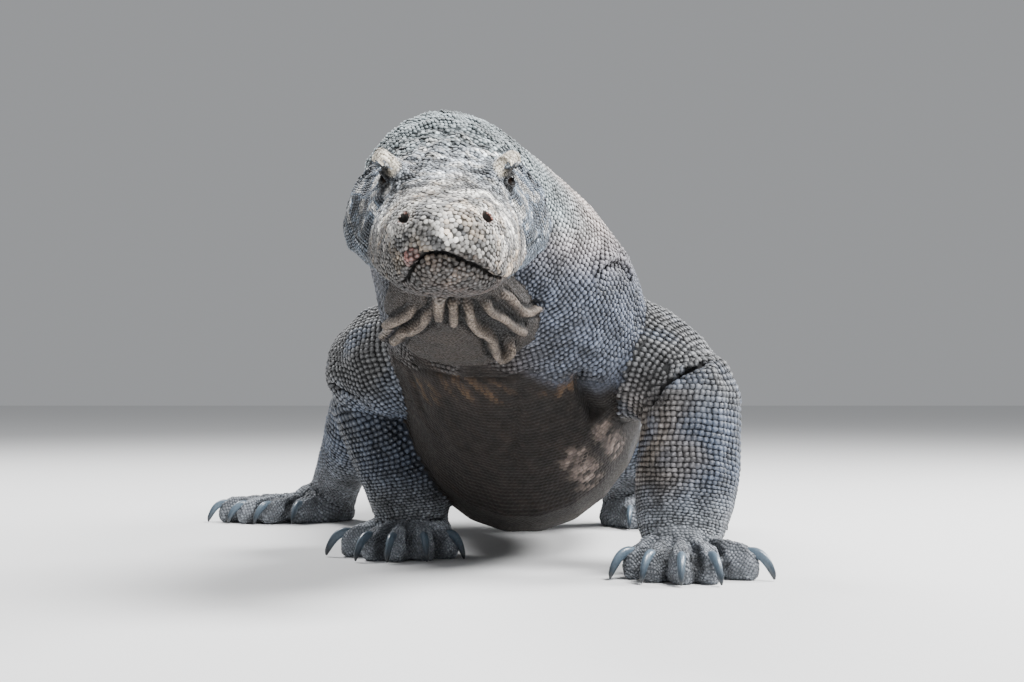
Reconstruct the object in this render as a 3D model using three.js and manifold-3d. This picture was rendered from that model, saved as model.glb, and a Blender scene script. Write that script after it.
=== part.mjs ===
// A komodo dragon in a slow walk towards -Y, its head raised and its snout lowered, as a still life-size model.
// Millimetres, +Z up, the floor at z = 0. +X is the animal's left. Flesh, jaw, eyes and claws are solids of
// their own.
import * as THREE from "three";
import { mergeVertices } from "three/addons/utils/BufferGeometryUtils.js";
import Module from "manifold-3d";

const wasm = await Module();
wasm.setup();

// ---- Driving dimensions ----
const GAP = 0.4; // clearance between neighbouring solids
const THINNEST = 0.8; // least half thickness of any loft
const UP = new THREE.Vector3(0, 0, 1);
const AHEAD = new THREE.Vector3(0, -1, 0);
const LEFT = 1; // sign of X on the animal's left
const RIGHT = -1;
const DIGITS = [0, 1, 2, 3, 4];

const HEAD_LENGTH = 205; // snout to the back of the jaw
const HEAD_TIP = [-54, 4, 314]; // front of the lip line
const HEAD_PITCH = 14; // degrees, snout down
const HEAD_YAW = 2; // degrees, towards the animal's right
const EYE = { radius: 12.5, side: 47, back: 119, high: 41 };
const ORBIT = { side: 39, back: 121, high: 38, size: [19, 28, 21] }; // the swelling that the eye sits in
const BROW = { side: 53, back: 117, high: 59, size: [10, 22, 9] };
const NOSTRIL = { side: 35, back: 12, high: 25, size: [6.5, 10, 7.5] };
const EAR = { side: 88, back: 184, high: 12, size: [12, 7, 15] };

// The middle of the model's outer box, measured in the frame that the stations below are written in.
const BOX_MIDDLE = [-72.3, 1276.1];

// ---- Shape tools ----

// A closed solid of rings along a smooth path. A station has a place, half its width, its height above and
// below that place, and how square and how narrow at the top its section is. "upright" keeps every ring
// vertical.
function loft(
  stations,
  { around = 16, steps = 12, up = UP, grow = 0, from = 0, to = 1, upright = false } = {},
) {
  const curveOf = (read) =>
    new THREE.CatmullRomCurve3(stations.map((s) => new THREE.Vector3(...read(s))), false, "catmullrom");
  const path = curveOf((s) => s.at);
  const sizes = curveOf((s) => [s.wide, s.above ?? s.wide, s.below ?? s.above ?? s.wide]);
  const shapes = curveOf((s) => [s.square ?? 2, s.narrow ?? 0, 0]);
  const positions = [];
  const index = [];
  for (let i = 0; i <= steps; i++) {
    const t = from + ((to - from) * i) / steps;
    const middle = path.getPoint(t);
    const along = path.getTangent(t);
    if (upright) along.setZ(0).normalize();
    const side = new THREE.Vector3().crossVectors(up, along).normalize();
    const top = new THREE.Vector3().crossVectors(along, side);
    const size = sizes.getPoint(t);
    const shape = shapes.getPoint(t);
    if (i === 0) middle.addScaledVector(along, -grow);
    if (i === steps) middle.addScaledVector(along, grow);
    for (let j = 0; j < around; j++) {
      const angle = (2 * Math.PI * j) / around;
      const c = Math.cos(angle);
      const s = Math.sin(angle);
      const power = 2 / shape.x;
      const narrow = 1 - shape.y * Math.max(0, s) ** 2;
      const half = Math.max(size.x, THINNEST) + grow;
      const tall = Math.max(s > 0 ? size.y : size.z, THINNEST) + grow;
      const x = half * narrow * Math.sign(c) * Math.abs(c) ** power;
      const z = tall * Math.sign(s) * Math.abs(s) ** power;
      const point = middle.clone().addScaledVector(side, x).addScaledVector(top, z);
      positions.push(point.x, point.y, point.z);
    }
  }
  const ring = (i, j) => i * around + (j % around);
  for (let i = 0; i < steps; i++)
    for (let j = 0; j < around; j++) {
      index.push(ring(i, j), ring(i, j + 1), ring(i + 1, j + 1));
      index.push(ring(i, j), ring(i + 1, j + 1), ring(i + 1, j));
    }
  for (let j = 1; j < around - 1; j++) {
    index.push(ring(0, 0), ring(0, j + 1), ring(0, j));
    index.push(ring(steps, 0), ring(steps, j), ring(steps, j + 1));
  }
  const geometry = new THREE.BufferGeometry();
  geometry.setAttribute("position", new THREE.Float32BufferAttribute(positions, 3));
  geometry.setIndex(index);
  return geometry;
}

function ellipsoid(at, [x, y, z], { around = 14, rows = 10, turn = 0 } = {}) {
  const geometry = new THREE.SphereGeometry(1, around, rows);
  geometry.rotateX(Math.PI / 2);
  geometry.scale(x, y, z);
  geometry.rotateZ(THREE.MathUtils.degToRad(turn));
  geometry.translate(...at);
  return geometry;
}

function solidOf(geometry) {
  const bare = geometry.clone();
  bare.deleteAttribute("normal");
  bare.deleteAttribute("uv");
  const merged = mergeVertices(bare, 1e-3);
  const mesh = new wasm.Mesh({
    numProp: 3,
    vertProperties: new Float32Array(merged.attributes.position.array),
    triVerts: new Uint32Array(merged.index.array),
  });
  return new wasm.Manifold(mesh);
}

function join(...geometries) {
  return geometries.map(solidOf).reduce((whole, piece) => whole.add(piece));
}

// The biggest piece of a cut solid, without the slivers that a shallow cut leaves.
function largest(solid) {
  return solid.decompose().reduce((a, b) => (b.volume() > a.volume() ? b : a));
}

const floorBlock = solidOf(new THREE.BoxGeometry(4000, 8000, 400).translate(0, 1000, -200));
const onFloor = (solid) => solid.subtract(floorBlock);

// ---- Materials ----
const paint = (color, roughness) => new THREE.MeshStandardMaterial({ color, roughness, metalness: 0 });
const skin = paint(0x5a5652, 0.8);
const throatSkin = paint(0x5e4f44, 0.85);
const horn = paint(0x59616b, 0.4);
const eyeball = paint(0x15120f, 0.1);

const dragon = new THREE.Group();

function addNode(name, solid, material) {
  const { numProp, vertProperties, triVerts, numVert } = solid.getMesh();
  const positions = new Float32Array(numVert * 3);
  for (let i = 0; i < numVert; i++) {
    positions.set(vertProperties.subarray(i * numProp, i * numProp + 3), i * 3);
  }
  const geometry = new THREE.BufferGeometry();
  geometry.setAttribute("position", new THREE.BufferAttribute(positions, 3));
  geometry.setIndex(new THREE.BufferAttribute(triVerts, 1));
  const mesh = new THREE.Mesh(geometry, material);
  mesh.name = name;
  dragon.add(mesh);
}

// ---- The spine: neck, trunk and tail are lengths of one loft ----
const SPINE = [
  { at: [-60, 165, 388], wide: 66, above: 56, below: 66 },
  { at: [-64, 232, 386], wide: 86, above: 80, below: 84, narrow: 0.18 },
  { at: [-44, 305, 360], wide: 110, above: 88, below: 100, narrow: 0.05 },
  { at: [-14, 392, 316], wide: 136, above: 98, below: 114 },
  { at: [6, 485, 264], wide: 145, above: 106, below: 134 },
  { at: [12, 605, 208], wide: 141, above: 142, below: 172 },
  { at: [12, 740, 192], wide: 156, above: 157, below: 170 },
  { at: [4, 880, 188], wide: 168, above: 156, below: 160 },
  { at: [-14, 1010, 188], wide: 154, above: 143, below: 140 },
  { at: [-30, 1110, 190], wide: 128, above: 122, below: 118 },
  { at: [-40, 1200, 186], wide: 104, above: 104, below: 104 },
  { at: [-47, 1295, 171], wide: 84, above: 88, below: 86 },
  { at: [-58, 1405, 145], wide: 70, above: 76, below: 74 },
  { at: [-74, 1545, 107], wide: 58, above: 65, below: 62 },
  { at: [-80, 1690, 71], wide: 47, above: 55, below: 54 },
  { at: [-62, 1840, 48], wide: 38, above: 46, below: 47 },
  { at: [-14, 1990, 38], wide: 30, above: 38, below: 39 },
  { at: [60, 2130, 30], wide: 23, above: 30, below: 31 },
  { at: [140, 2258, 22], wide: 16, above: 21, below: 23 },
  { at: [200, 2378, 15], wide: 10, above: 13, below: 16 },
  { at: [232, 2488, 9], wide: 5.5, above: 7, below: 10 },
  { at: [240, 2560, 5], wide: 2.5, above: 3, below: 6 },
];
const spineStep = 1 / (SPINE.length - 1);

// Where the spine is parted, counted in stations, with the rings and sides of each length.
const LENGTHS = {
  neck: { first: 0, last: 4.3, steps: 8, around: 18 },
  trunk: { first: 4.3, last: 11, steps: 11, around: 22 },
  tail_base: { first: 11, last: 14, steps: 4, around: 16 },
  tail_middle: { first: 14, last: 17, steps: 5, around: 12 },
  tail_end: { first: 17, last: 21, steps: 7, around: 10 },
};

const HALF_CUT = 0.0015; // half the thin cut between two lengths, counted in stations

function spineLength(name, grow = 0) {
  const { first, last, steps, around } = LENGTHS[name];
  const from = (first === 0 ? first : first + HALF_CUT) * spineStep;
  const to = (last === SPINE.length - 1 ? last : last - HALF_CUT) * spineStep;
  return loft(SPINE, { around, steps, grow, from, to });
}

// ---- Head ----
const headPlace = new THREE.Matrix4()
  .makeTranslation(...HEAD_TIP)
  .multiply(new THREE.Matrix4().makeRotationZ(THREE.MathUtils.degToRad(HEAD_YAW)))
  .multiply(new THREE.Matrix4().makeRotationX(THREE.MathUtils.degToRad(HEAD_PITCH)));
const inHead = (geometry) => geometry.applyMatrix4(headPlace);

// Distance behind the snout, half width at the lips, height of the top and depth of the chin from the front
// of the lip line.
const HEAD_SECTIONS = [
  { back: -9, wide: 14, top: 14, under: 8, narrow: 0, square: 2.6 },
  { back: -4, wide: 29, top: 23, under: 26, narrow: 0, square: 2.7 },
  { back: 8, wide: 43, top: 33, under: 38, narrow: 0.03, square: 2.9 },
  { back: 28, wide: 54, top: 38, under: 47, narrow: 0.1, square: 2.7 },
  { back: 55, wide: 63, top: 43, under: 52, narrow: 0.22 },
  { back: 85, wide: 68, top: 50, under: 55, narrow: 0.27 },
  { back: 112, wide: 73, top: 59, under: 57, narrow: 0.25 },
  { back: 140, wide: 81, top: 68, under: 60, narrow: 0.25 },
  { back: 172, wide: 94, top: 76, under: 62, narrow: 0.3 },
  { back: 196, wide: 94, top: 84, under: 60, narrow: 0.33 },
  { back: HEAD_LENGTH, wide: 80, top: 76, under: 50, narrow: 0.3 },
];
const LIP_LEVEL = -10; // height of the widest line of the head

function headLoft(grow = 0) {
  const stations = HEAD_SECTIONS.map((s) => ({
    at: [0, s.back, LIP_LEVEL],
    wide: s.wide,
    above: s.top - LIP_LEVEL,
    below: s.under + LIP_LEVEL,
    square: s.square ?? 2.35,
    narrow: s.narrow,
  }));
  return inHead(loft(stations, { around: 18, steps: 13, grow }));
}

// Both sides of a paired feature, placed in the head.
function pair({ side, back, high }, size, options = {}) {
  return [LEFT, RIGHT].map((hand) =>
    inHead(ellipsoid([hand * side, back, high], size, { ...options, turn: hand * (options.turn ?? 0) })),
  );
}

// The side view of the lip line, from the front of the mouth to its corner and down behind the jaw.
const LIP_LINE = [
  [-30, 4],
  [-11, 0],
  [-2, -13],
  [10, -23],
  [30, -32],
  [62, -36],
  [95, -33],
  [125, -22],
  [150, -16],
];
const JAW_END = [
  [180, -40],
  [192, -90],
];

const JAW_BLOCK_WIDTH = 240; // wider than the head

// All that lies under the lip line, raised by "lift".
function jawBlock(lift) {
  const lips = new THREE.SplineCurve(LIP_LINE.map(([back, z]) => new THREE.Vector2(back, z))).getPoints(18);
  const end = JAW_END.map(([back, z]) => new THREE.Vector2(back, z));
  const outline = [...lips, ...end, new THREE.Vector2(LIP_LINE[0][0], JAW_END[1][1])];
  const shape = new THREE.Shape(outline.map((p) => new THREE.Vector2(p.x + lift * 0.5, p.y + lift)));
  const block = new THREE.ExtrudeGeometry(shape, { depth: JAW_BLOCK_WIDTH, bevelEnabled: false });
  block.translate(0, 0, -JAW_BLOCK_WIDTH / 2);
  // The outline's axes are back and up, and it is pulled out sideways.
  block.applyMatrix4(new THREE.Matrix4().set(0, 0, 1, 0, 1, 0, 0, 0, 0, 1, 0, 0, 0, 0, 0, 1));
  return solidOf(inHead(block));
}

// The head with its brow knobs and orbits, all its faces moved out by "grow".
function fullHead(grow) {
  const larger = (size) => size.map((r) => r + grow);
  const brows = pair(BROW, larger(BROW.size), { turn: -22, around: 8, rows: 6 });
  const orbits = pair(ORBIT, larger(ORBIT.size), { around: 10, rows: 6 });
  return join(headLoft(grow), ...brows, ...orbits);
}

function eyeballs(grow) {
  const radius = EYE.radius + grow;
  return pair(EYE, [radius, radius, radius], { around: 10, rows: 6 }).map(solidOf);
}

const [eyeLeft, eyeRight] = eyeballs(0);
const [socketLeft, socketRight] = eyeballs(GAP);
const openings = join(
  ...pair(NOSTRIL, NOSTRIL.size, { around: 7, rows: 5 }),
  ...pair(EAR, EAR.size, { around: 8, rows: 5 }),
);
const carvedHead = fullHead(0).subtract(socketLeft).subtract(socketRight).subtract(openings);
addNode("head", largest(carvedHead.subtract(jawBlock(GAP))), skin);
addNode("lower_jaw", largest(carvedHead.intersect(jawBlock(0))), skin);
addNode("eye_left", eyeLeft, eyeball);
addNode("eye_right", eyeRight, eyeball);

// ---- Throat: the loose pouch under the jaw, wide and hanging ----
const THROAT = [
  { at: [-56, 78, 300], wide: 22, above: 18, below: 12 },
  { at: [-56, 120, 292], wide: 46, above: 34, below: 22 },
  { at: [-56, 180, 282], wide: 62, above: 44, below: 36 },
  { at: [-52, 245, 270], wide: 72, above: 50, below: 46 },
  { at: [-44, 300, 262], wide: 74, above: 50, below: 44 },
  { at: [-34, 345, 262], wide: 60, above: 40, below: 24 },
];
const grownHead = fullHead(GAP);
const neck = largest(solidOf(spineLength("neck")).subtract(grownHead));
const throat = solidOf(loft(THROAT, { around: 14, steps: 8 }))
  .subtract(grownHead)
  .subtract(solidOf(spineLength("neck", GAP)));

// ---- Legs ----

// Palm or sole at "palm", claws reaching "reach" from it at the angles "fan", counted outwards from straight
// ahead.
const LEGS = {
  front_left: {
    hand: LEFT,
    upper: [
      { at: [60, 505, 248], wide: 78, above: 74 },
      { at: [118, 492, 240], wide: 74, above: 66, below: 78 },
      { at: [162, 470, 220], wide: 66, above: 55, below: 70 },
      { at: [194, 455, 200], wide: 50, above: 44, below: 50 },
      { at: [214, 447, 186], wide: 24, above: 20, below: 24 },
    ],
    lower: [
      { at: [190, 442, 238], wide: 18, above: 16 },
      { at: [191, 442, 222], wide: 40, above: 44 },
      { at: [193, 442, 190], wide: 53, above: 58 },
      { at: [190, 436, 143], wide: 55, above: 58 },
      { at: [187, 430, 108], wide: 57, above: 56 },
      { at: [182, 424, 74], wide: 54, above: 50 },
      { at: [178, 416, 46], wide: 47, above: 42 },
      { at: [176, 410, 26], wide: 38, above: 34 },
    ],
    palm: [175, 398],
    heading: 0,
    foot: "fore",
  },
  front_right: {
    hand: RIGHT,
    upper: [
      { at: [-42, 520, 246], wide: 78, above: 74 },
      { at: [-104, 545, 240], wide: 74, above: 68, below: 78 },
      { at: [-150, 582, 224], wide: 66, above: 60, below: 68 },
      { at: [-177, 606, 202], wide: 50, above: 46, below: 50 },
      { at: [-192, 620, 188], wide: 24, above: 20, below: 24 },
    ],
    lower: [
      { at: [-172, 618, 234], wide: 18, above: 16 },
      { at: [-170, 618, 218], wide: 38, above: 42 },
      { at: [-163, 620, 186], wide: 52, above: 55 },
      { at: [-146, 624, 148], wide: 54, above: 55 },
      { at: [-128, 628, 98], wide: 51, above: 50 },
      { at: [-119, 632, 64], wide: 48, above: 44 },
      { at: [-117, 634, 42], wide: 44, above: 40 },
      { at: [-117, 634, 26], wide: 37, above: 34 },
    ],
    palm: [-112, 628],
    heading: 19,
    foot: "fore",
  },
  hind_left: {
    hand: LEFT,
    upper: [
      { at: [15, 1150, 195], wide: 92, above: 84 },
      { at: [66, 1115, 193], wide: 88, above: 82 },
      { at: [116, 1045, 184], wide: 74, above: 68 },
      { at: [146, 990, 170], wide: 54, above: 50 },
      { at: [158, 962, 160], wide: 26, above: 24 },
    ],
    lower: [
      { at: [148, 972, 204], wide: 18, above: 16 },
      { at: [149, 974, 190], wide: 38, above: 36 },
      { at: [151, 984, 160], wide: 50, above: 48 },
      { at: [154, 1014, 122], wide: 46, above: 46 },
      { at: [158, 1052, 84], wide: 39, above: 38 },
      { at: [161, 1076, 52], wide: 37, above: 36 },
      { at: [163, 1084, 26], wide: 34, above: 32 },
    ],
    palm: [168, 1070],
    heading: 24,
    foot: "hind",
  },
  hind_right: {
    hand: RIGHT,
    upper: [
      { at: [-85, 1145, 195], wide: 92, above: 84 },
      { at: [-124, 1112, 192], wide: 86, above: 80 },
      { at: [-168, 1052, 182], wide: 72, above: 66 },
      { at: [-194, 1006, 168], wide: 54, above: 50 },
      { at: [-205, 982, 160], wide: 26, above: 24 },
    ],
    lower: [
      { at: [-200, 992, 202], wide: 18, above: 16 },
      { at: [-201, 994, 188], wide: 38, above: 36 },
      { at: [-206, 1008, 158], wide: 49, above: 48 },
      { at: [-222, 1056, 118], wide: 45, above: 45 },
      { at: [-242, 1112, 82], wide: 38, above: 38 },
      { at: [-256, 1150, 52], wide: 36, above: 36 },
      { at: [-262, 1166, 26], wide: 34, above: 32 },
    ],
    palm: [-280, 1160],
    heading: 50,
    foot: "hind",
  },
};

const FEET = {
  fore: {
    palm: [48, 50, 48],
    fan: [-62, -29, -4, 18, 62],
    reach: [84, 94, 106, 106, 104],
    toe: 17.5,
    claw: 46,
  },
  hind: {
    palm: [43, 58, 46],
    fan: [-30, -4, 11, 26, 60],
    reach: [88, 116, 140, 160, 108],
    toe: 15.5,
    claw: 42,
  },
};

// Rings of a toe. "past" is counted in toe thicknesses beyond the claw's root, and the root and arch rings lie
// nearer the palm instead. "high" is in millimetres, and the half sizes are counted in toe thicknesses.
const TOE_RINGS = {
  root: { high: 24, wide: 1.1, above: 1 },
  arch: { high: 26, wide: 1.1, above: 1.05, below: 1.4 },
  front: [
    { past: -0.55, high: 21, wide: 1.08, above: 1.1, below: 1.5 },
    { past: 0.15, high: 16, wide: 0.88, above: 0.85, below: 1.2 },
    { past: 0.55, high: 14, wide: 0.45, above: 0.4, below: 0.6 },
  ],
};
const TOE_ROOT_IN_PALM = 0.35; // where a toe starts, as a share of the palm's half width
const CLAW_SHOWN = 0.78; // share of a claw's length that lies beyond the toe
const CLAW_SUNK = 0.6; // how far its root lies inside the toe, in toe thicknesses

// Rings of a claw, by the share of its length. It arches up from the toe and comes down to the floor.
const CLAW_RINGS = [
  { share: 0, high: 30, wide: 7, above: 7, below: 7.5 },
  { share: 0.3, high: 32, wide: 7.2, above: 7.4, below: 8.4 },
  { share: 0.62, high: 25.5, wide: 5.6, above: 6, below: 6.8 },
  { share: 0.87, high: 13, wide: 3.6, above: 3.8, below: 4.2 },
  { share: 1, high: 0.5, wide: 1, above: 1, below: 1 },
];

// A direction on the floor, turned outwards from straight ahead.
function outward(hand, degrees) {
  const angle = THREE.MathUtils.degToRad(degrees);
  return new THREE.Vector3(hand * Math.sin(angle), -Math.cos(angle), 0);
}

// One toe's line over the floor: "at" gives a place on it, and "pad" is where its flesh ends.
function toeLine(leg, digit) {
  const { palm, fan, reach, claw } = FEET[leg.foot];
  const direction = outward(leg.hand, leg.heading + fan[digit]);
  const middle = new THREE.Vector3(leg.palm[0], leg.palm[1], 0);
  const at = (distance, high) => middle.clone().addScaledVector(direction, distance).setZ(high).toArray();
  return { at, start: palm[0] * TOE_ROOT_IN_PALM, pad: reach[digit] - claw * CLAW_SHOWN };
}

function toeLoft(leg, digit, grow = 0) {
  const { at, start, pad } = toeLine(leg, digit);
  const { toe } = FEET[leg.foot];
  const ring = (distance, { high, wide, above, below = above }) =>
    ({ at: at(distance, high), wide: toe * wide, above: toe * above, below: toe * below });
  const stations = [
    ring(start, TOE_RINGS.root),
    ring((start + pad) / 2, TOE_RINGS.arch),
    ...TOE_RINGS.front.map((front) => ring(pad + toe * front.past, front)),
  ];
  return loft(stations, { around: 7, steps: 4, grow, upright: true });
}

function clawLoft(leg, digit) {
  const { at, pad } = toeLine(leg, digit);
  const { toe, reach, claw } = FEET[leg.foot];
  const root = pad - toe * CLAW_SUNK;
  const size = claw / FEET.fore.claw;
  const stations = CLAW_RINGS.map(({ share, high, wide, above, below }) => ({
    at: at(root + (reach[digit] - root) * share, high),
    wide: wide * size,
    above: above * size,
    below: below * size,
  }));
  return loft(stations, { around: 6, steps: 3 });
}

const PALM_HIGH = 12; // height of the palm's middle

function footSolid(leg, grow = 0) {
  const size = FEET[leg.foot].palm.map((r) => r + grow);
  const turn = leg.hand * leg.heading;
  const palm = ellipsoid([leg.palm[0], leg.palm[1], PALM_HIGH], size, { around: 10, rows: 6, turn });
  return join(palm, ...DIGITS.map((digit) => toeLoft(leg, digit, grow)));
}

const spineGrown = solidOf(spineLength("neck", GAP)).add(solidOf(spineLength("trunk", GAP)));
const upperSteps = { around: 12, steps: 5 };
const lowerSteps = { around: 12, steps: 7, up: AHEAD };

for (const [name, leg] of Object.entries(LEGS)) {
  const upper = solidOf(loft(leg.upper, upperSteps));
  const upperGrown = solidOf(loft(leg.upper, { ...upperSteps, grow: GAP }));
  const lower = solidOf(loft(leg.lower, lowerSteps));
  const lowerGrown = solidOf(loft(leg.lower, { ...lowerSteps, grow: GAP }));
  addNode(`leg_${name}_upper`, largest(upper.subtract(spineGrown)), skin);
  addNode(`leg_${name}_lower`, largest(onFloor(lower.subtract(upperGrown).subtract(spineGrown))), skin);
  addNode(`foot_${name}`, largest(onFloor(footSolid(leg).subtract(lowerGrown))), skin);
  const footGrown = footSolid(leg, 2 * GAP).add(lowerGrown);
  for (const digit of DIGITS) {
    const claw = onFloor(solidOf(clawLoft(leg, digit))).subtract(footGrown);
    addNode(`claw_${name}_${digit + 1}`, largest(claw), horn);
  }
}

// ---- Neck, throat, trunk and tail ----
const frontLimbs = ["front_left", "front_right"].map((name) =>
  solidOf(loft(LEGS[name].upper, { ...upperSteps, grow: GAP })),
);
addNode("neck", neck, skin);
addNode("throat", largest(frontLimbs.reduce((left, limb) => left.subtract(limb), throat)), throatSkin);
for (const name of ["trunk", "tail_base", "tail_middle", "tail_end"]) {
  addNode(name, onFloor(solidOf(spineLength(name))), skin);
}

dragon.position.set(-BOX_MIDDLE[0], -BOX_MIDDLE[1], 0);
const model = new THREE.Group();
model.add(dragon);

export default model;
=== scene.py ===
"""A komodo dragon as a still, life-size model: one skin over the whole body, with scales, claws and eyes of
their own."""

import math

import bmesh
import bpy
import numpy as np
from mathutils import Matrix, Vector
from mathutils.bvhtree import BVHTree
from mathutils.kdtree import KDTree


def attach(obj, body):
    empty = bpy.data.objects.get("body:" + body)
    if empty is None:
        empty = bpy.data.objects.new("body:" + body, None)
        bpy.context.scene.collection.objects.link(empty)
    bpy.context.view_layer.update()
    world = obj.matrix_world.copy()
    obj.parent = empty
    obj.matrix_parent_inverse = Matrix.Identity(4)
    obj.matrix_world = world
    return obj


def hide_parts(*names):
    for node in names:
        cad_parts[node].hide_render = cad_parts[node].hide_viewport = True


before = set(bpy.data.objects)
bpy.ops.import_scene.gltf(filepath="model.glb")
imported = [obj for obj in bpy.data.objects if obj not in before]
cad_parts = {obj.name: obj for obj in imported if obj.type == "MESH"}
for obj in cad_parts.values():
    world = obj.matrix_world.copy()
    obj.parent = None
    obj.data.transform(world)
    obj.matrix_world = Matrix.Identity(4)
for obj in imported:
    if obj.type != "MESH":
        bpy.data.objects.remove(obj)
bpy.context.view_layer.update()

# ---------------------------------------------------------------------------------------------------------------
# Sizes and places. Lengths are in millimetres and places are measured from under the snout: X to the animal's
# left, Y towards its tail, Z up from the floor.
# ---------------------------------------------------------------------------------------------------------------
MM = 0.001
SNOUT_TO_MIDDLE = np.array([72.3, -1276.1, 0.0])

LEGS = ("front_left", "front_right", "hind_left", "hind_right")
DIGITS = (1, 2, 3, 4, 5)
SPINE_NODES = ["neck", "trunk", "tail_base", "tail_middle", "tail_end"]
HEAD_NODES = ["head", "lower_jaw", "eye_left", "eye_right"]
LEG_NODES = [f"leg_{leg}_{part}" for leg in LEGS for part in ("upper", "lower")]
FOOT_NODES = [f"foot_{leg}" for leg in LEGS]
BODY_NODES = HEAD_NODES + ["throat"] + SPINE_NODES + LEG_NODES + FOOT_NODES

# The line along the middle of the neck, trunk and tail.
SPINE = [
    (-60, 165, 388), (-64, 232, 386), (-44, 305, 360), (-14, 392, 316), (6, 485, 264), (12, 605, 208),
    (12, 740, 192), (4, 880, 188), (-14, 1010, 188), (-30, 1110, 190), (-40, 1200, 186), (-47, 1295, 171),
    (-58, 1405, 145), (-74, 1545, 107), (-80, 1690, 71), (-62, 1840, 48), (-14, 1990, 38), (60, 2130, 30),
    (140, 2258, 22), (200, 2378, 15), (232, 2488, 9), (240, 2560, 5),
]
# The bone lines of each leg: shoulder or hip to elbow or knee, and on to the wrist or ankle.
LIMBS = {
    "front_left": [[(60, 505, 248), (118, 492, 240), (162, 470, 220), (200, 452, 196)],
                   [(191, 442, 236), (193, 442, 190), (190, 436, 143), (182, 424, 74), (176, 410, 22)]],
    "front_right": [[(-42, 520, 246), (-104, 545, 240), (-150, 582, 224), (-184, 612, 196)],
                    [(-171, 618, 232), (-163, 620, 186), (-146, 624, 148), (-128, 628, 98), (-117, 634, 26)]],
    "hind_left": [[(15, 1150, 195), (66, 1115, 193), (116, 1045, 184), (150, 980, 164)],
                  [(149, 974, 200), (151, 984, 160), (154, 1014, 122), (158, 1052, 84), (163, 1084, 26)]],
    "hind_right": [[(-85, 1145, 195), (-124, 1112, 192), (-168, 1052, 182), (-200, 996, 164)],
                   [(-201, 994, 198), (-206, 1008, 158), (-222, 1056, 118), (-242, 1112, 82),
                    (-262, 1166, 26)]],
}

# Places in the head are given as side, back and high: sideways from its middle, behind the snout and above
# the lips.
HEAD_TIP = (-54, 4, 314)
HEAD_PITCH = 14
HEAD_YAW = 2
EYE = {"at": (47, 119, 41), "radius": 12.5, "look": (0.93, -0.30, 0.14)}
EYE_OPENING = {"half_length": 9.5, "above": 2.6, "below": 3.8}

CAMERA = {"at": (0, -1535, 205), "lens": 65.04, "sensor": 36.0, "rise": 0.0381}
VIEW = {"focal": 1850, "middle": (512, 380)}


def unit(v):
    v = np.asarray(v, float)
    return v / np.linalg.norm(v, axis=-1, keepdims=True)


def spots(points):
    """Places in the part's own frame, in metres."""
    return (np.asarray(points, float) + SNOUT_TO_MIDDLE) * MM


def station(co):
    return co / MM - SNOUT_TO_MIDDLE


HEAD_TURN = np.array(
    Matrix.Rotation(math.radians(HEAD_YAW), 3, "Z") @ Matrix.Rotation(math.radians(HEAD_PITCH), 3, "X")
)


def from_head(points):
    """Places given as side, back and high in the head as places in the part's frame."""
    return spots(np.asarray(points, float) @ HEAD_TURN.T + np.array(HEAD_TIP))


def to_head(co):
    return (station(co) - np.array(HEAD_TIP)) @ HEAD_TURN


def smooth_step(low, high, x):
    t = np.clip((x - low) / (high - low), 0, 1)
    return t * t * (3 - 2 * t)


def bell(x, width):
    return np.exp(-(x / width) ** 2)


def point_tree(points):
    """A search tree over points."""
    tree = KDTree(len(points))
    for i, p in enumerate(points.tolist()):
        tree.insert(p, i)
    tree.balance()
    return tree


def gap_to(points, line):
    """How far each point is from the nearest place of a line."""
    return np.min(np.linalg.norm(points[:, None] - line[None], axis=2), axis=1)


def sided(place, hand):
    """A place in the head for one side: hand is 1 on the animal's left and -1 on its right."""
    return np.array(place) * (hand, 1, 1)


def wobble(co, wave):
    """A smooth unevenness over the body, from about -1 to 1. wave is in millimetres."""
    total = 0
    for k in range(5):
        way = np.array([math.sin(2.4 * k + 0.5), math.cos(3.1 * k), math.sin(1.7 * k + 2)])
        total = total + np.sin(station(co) @ unit(way) * (2 * math.pi / (wave * (0.75 + 0.15 * k))) + 1.9 * k)
    return total / 2.2


def spline(points, step):
    """Points about step apart on a smooth curve through the given ones, in the same units."""
    points = np.asarray(points, float)
    ends = np.vstack([2 * points[0] - points[1], points, 2 * points[-1] - points[-2]])
    out = []
    for i in range(len(points) - 1):
        a, b, c, d = ends[i:i + 4]
        n = max(1, int(round(np.linalg.norm(c - b) / step)))
        t = (np.arange(n) / n)[:, None]
        curve = (2 * a - 5 * b + 4 * c - d) * t**2 + (3 * b - a - 3 * c + d) * t**3
        out.append(0.5 * (2 * b + (c - a) * t + curve))
    return np.vstack(out + [points[-1:]])


# ---------------------------------------------------------------------------------------------------------------
# Mesh tools
# ---------------------------------------------------------------------------------------------------------------
def add_object(name, mesh):
    thing = bpy.data.objects.new(name, mesh)
    bpy.context.scene.collection.objects.link(thing)
    return thing


def finished_mesh(thing, name):
    """The mesh of an object with its modifiers worked in, and the object itself removed."""
    graph = bpy.context.evaluated_depsgraph_get()
    mesh = bpy.data.meshes.new_from_object(thing.evaluated_get(graph), depsgraph=graph)
    mesh.name = name
    bpy.data.objects.remove(thing)
    return mesh


def remeshed(nodes, name, voxel):
    """CAD nodes joined into one closed, evenly meshed form."""
    solid = bmesh.new()
    for node in nodes:
        solid.from_mesh(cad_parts[node].data)
    bmesh.ops.remove_doubles(solid, verts=solid.verts, dist=1e-6)
    mesh = bpy.data.meshes.new(name)
    solid.to_mesh(mesh)
    solid.free()
    form = add_object(name, mesh)
    remesh = form.modifiers.new("even", "REMESH")
    remesh.mode = "VOXEL"
    remesh.voxel_size = voxel * MM
    return finished_mesh(form, name)


def places_of(mesh):
    co = np.empty(len(mesh.vertices) * 3, np.float32)
    mesh.vertices.foreach_get("co", co)
    return co.reshape(-1, 3).astype(float)


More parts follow.
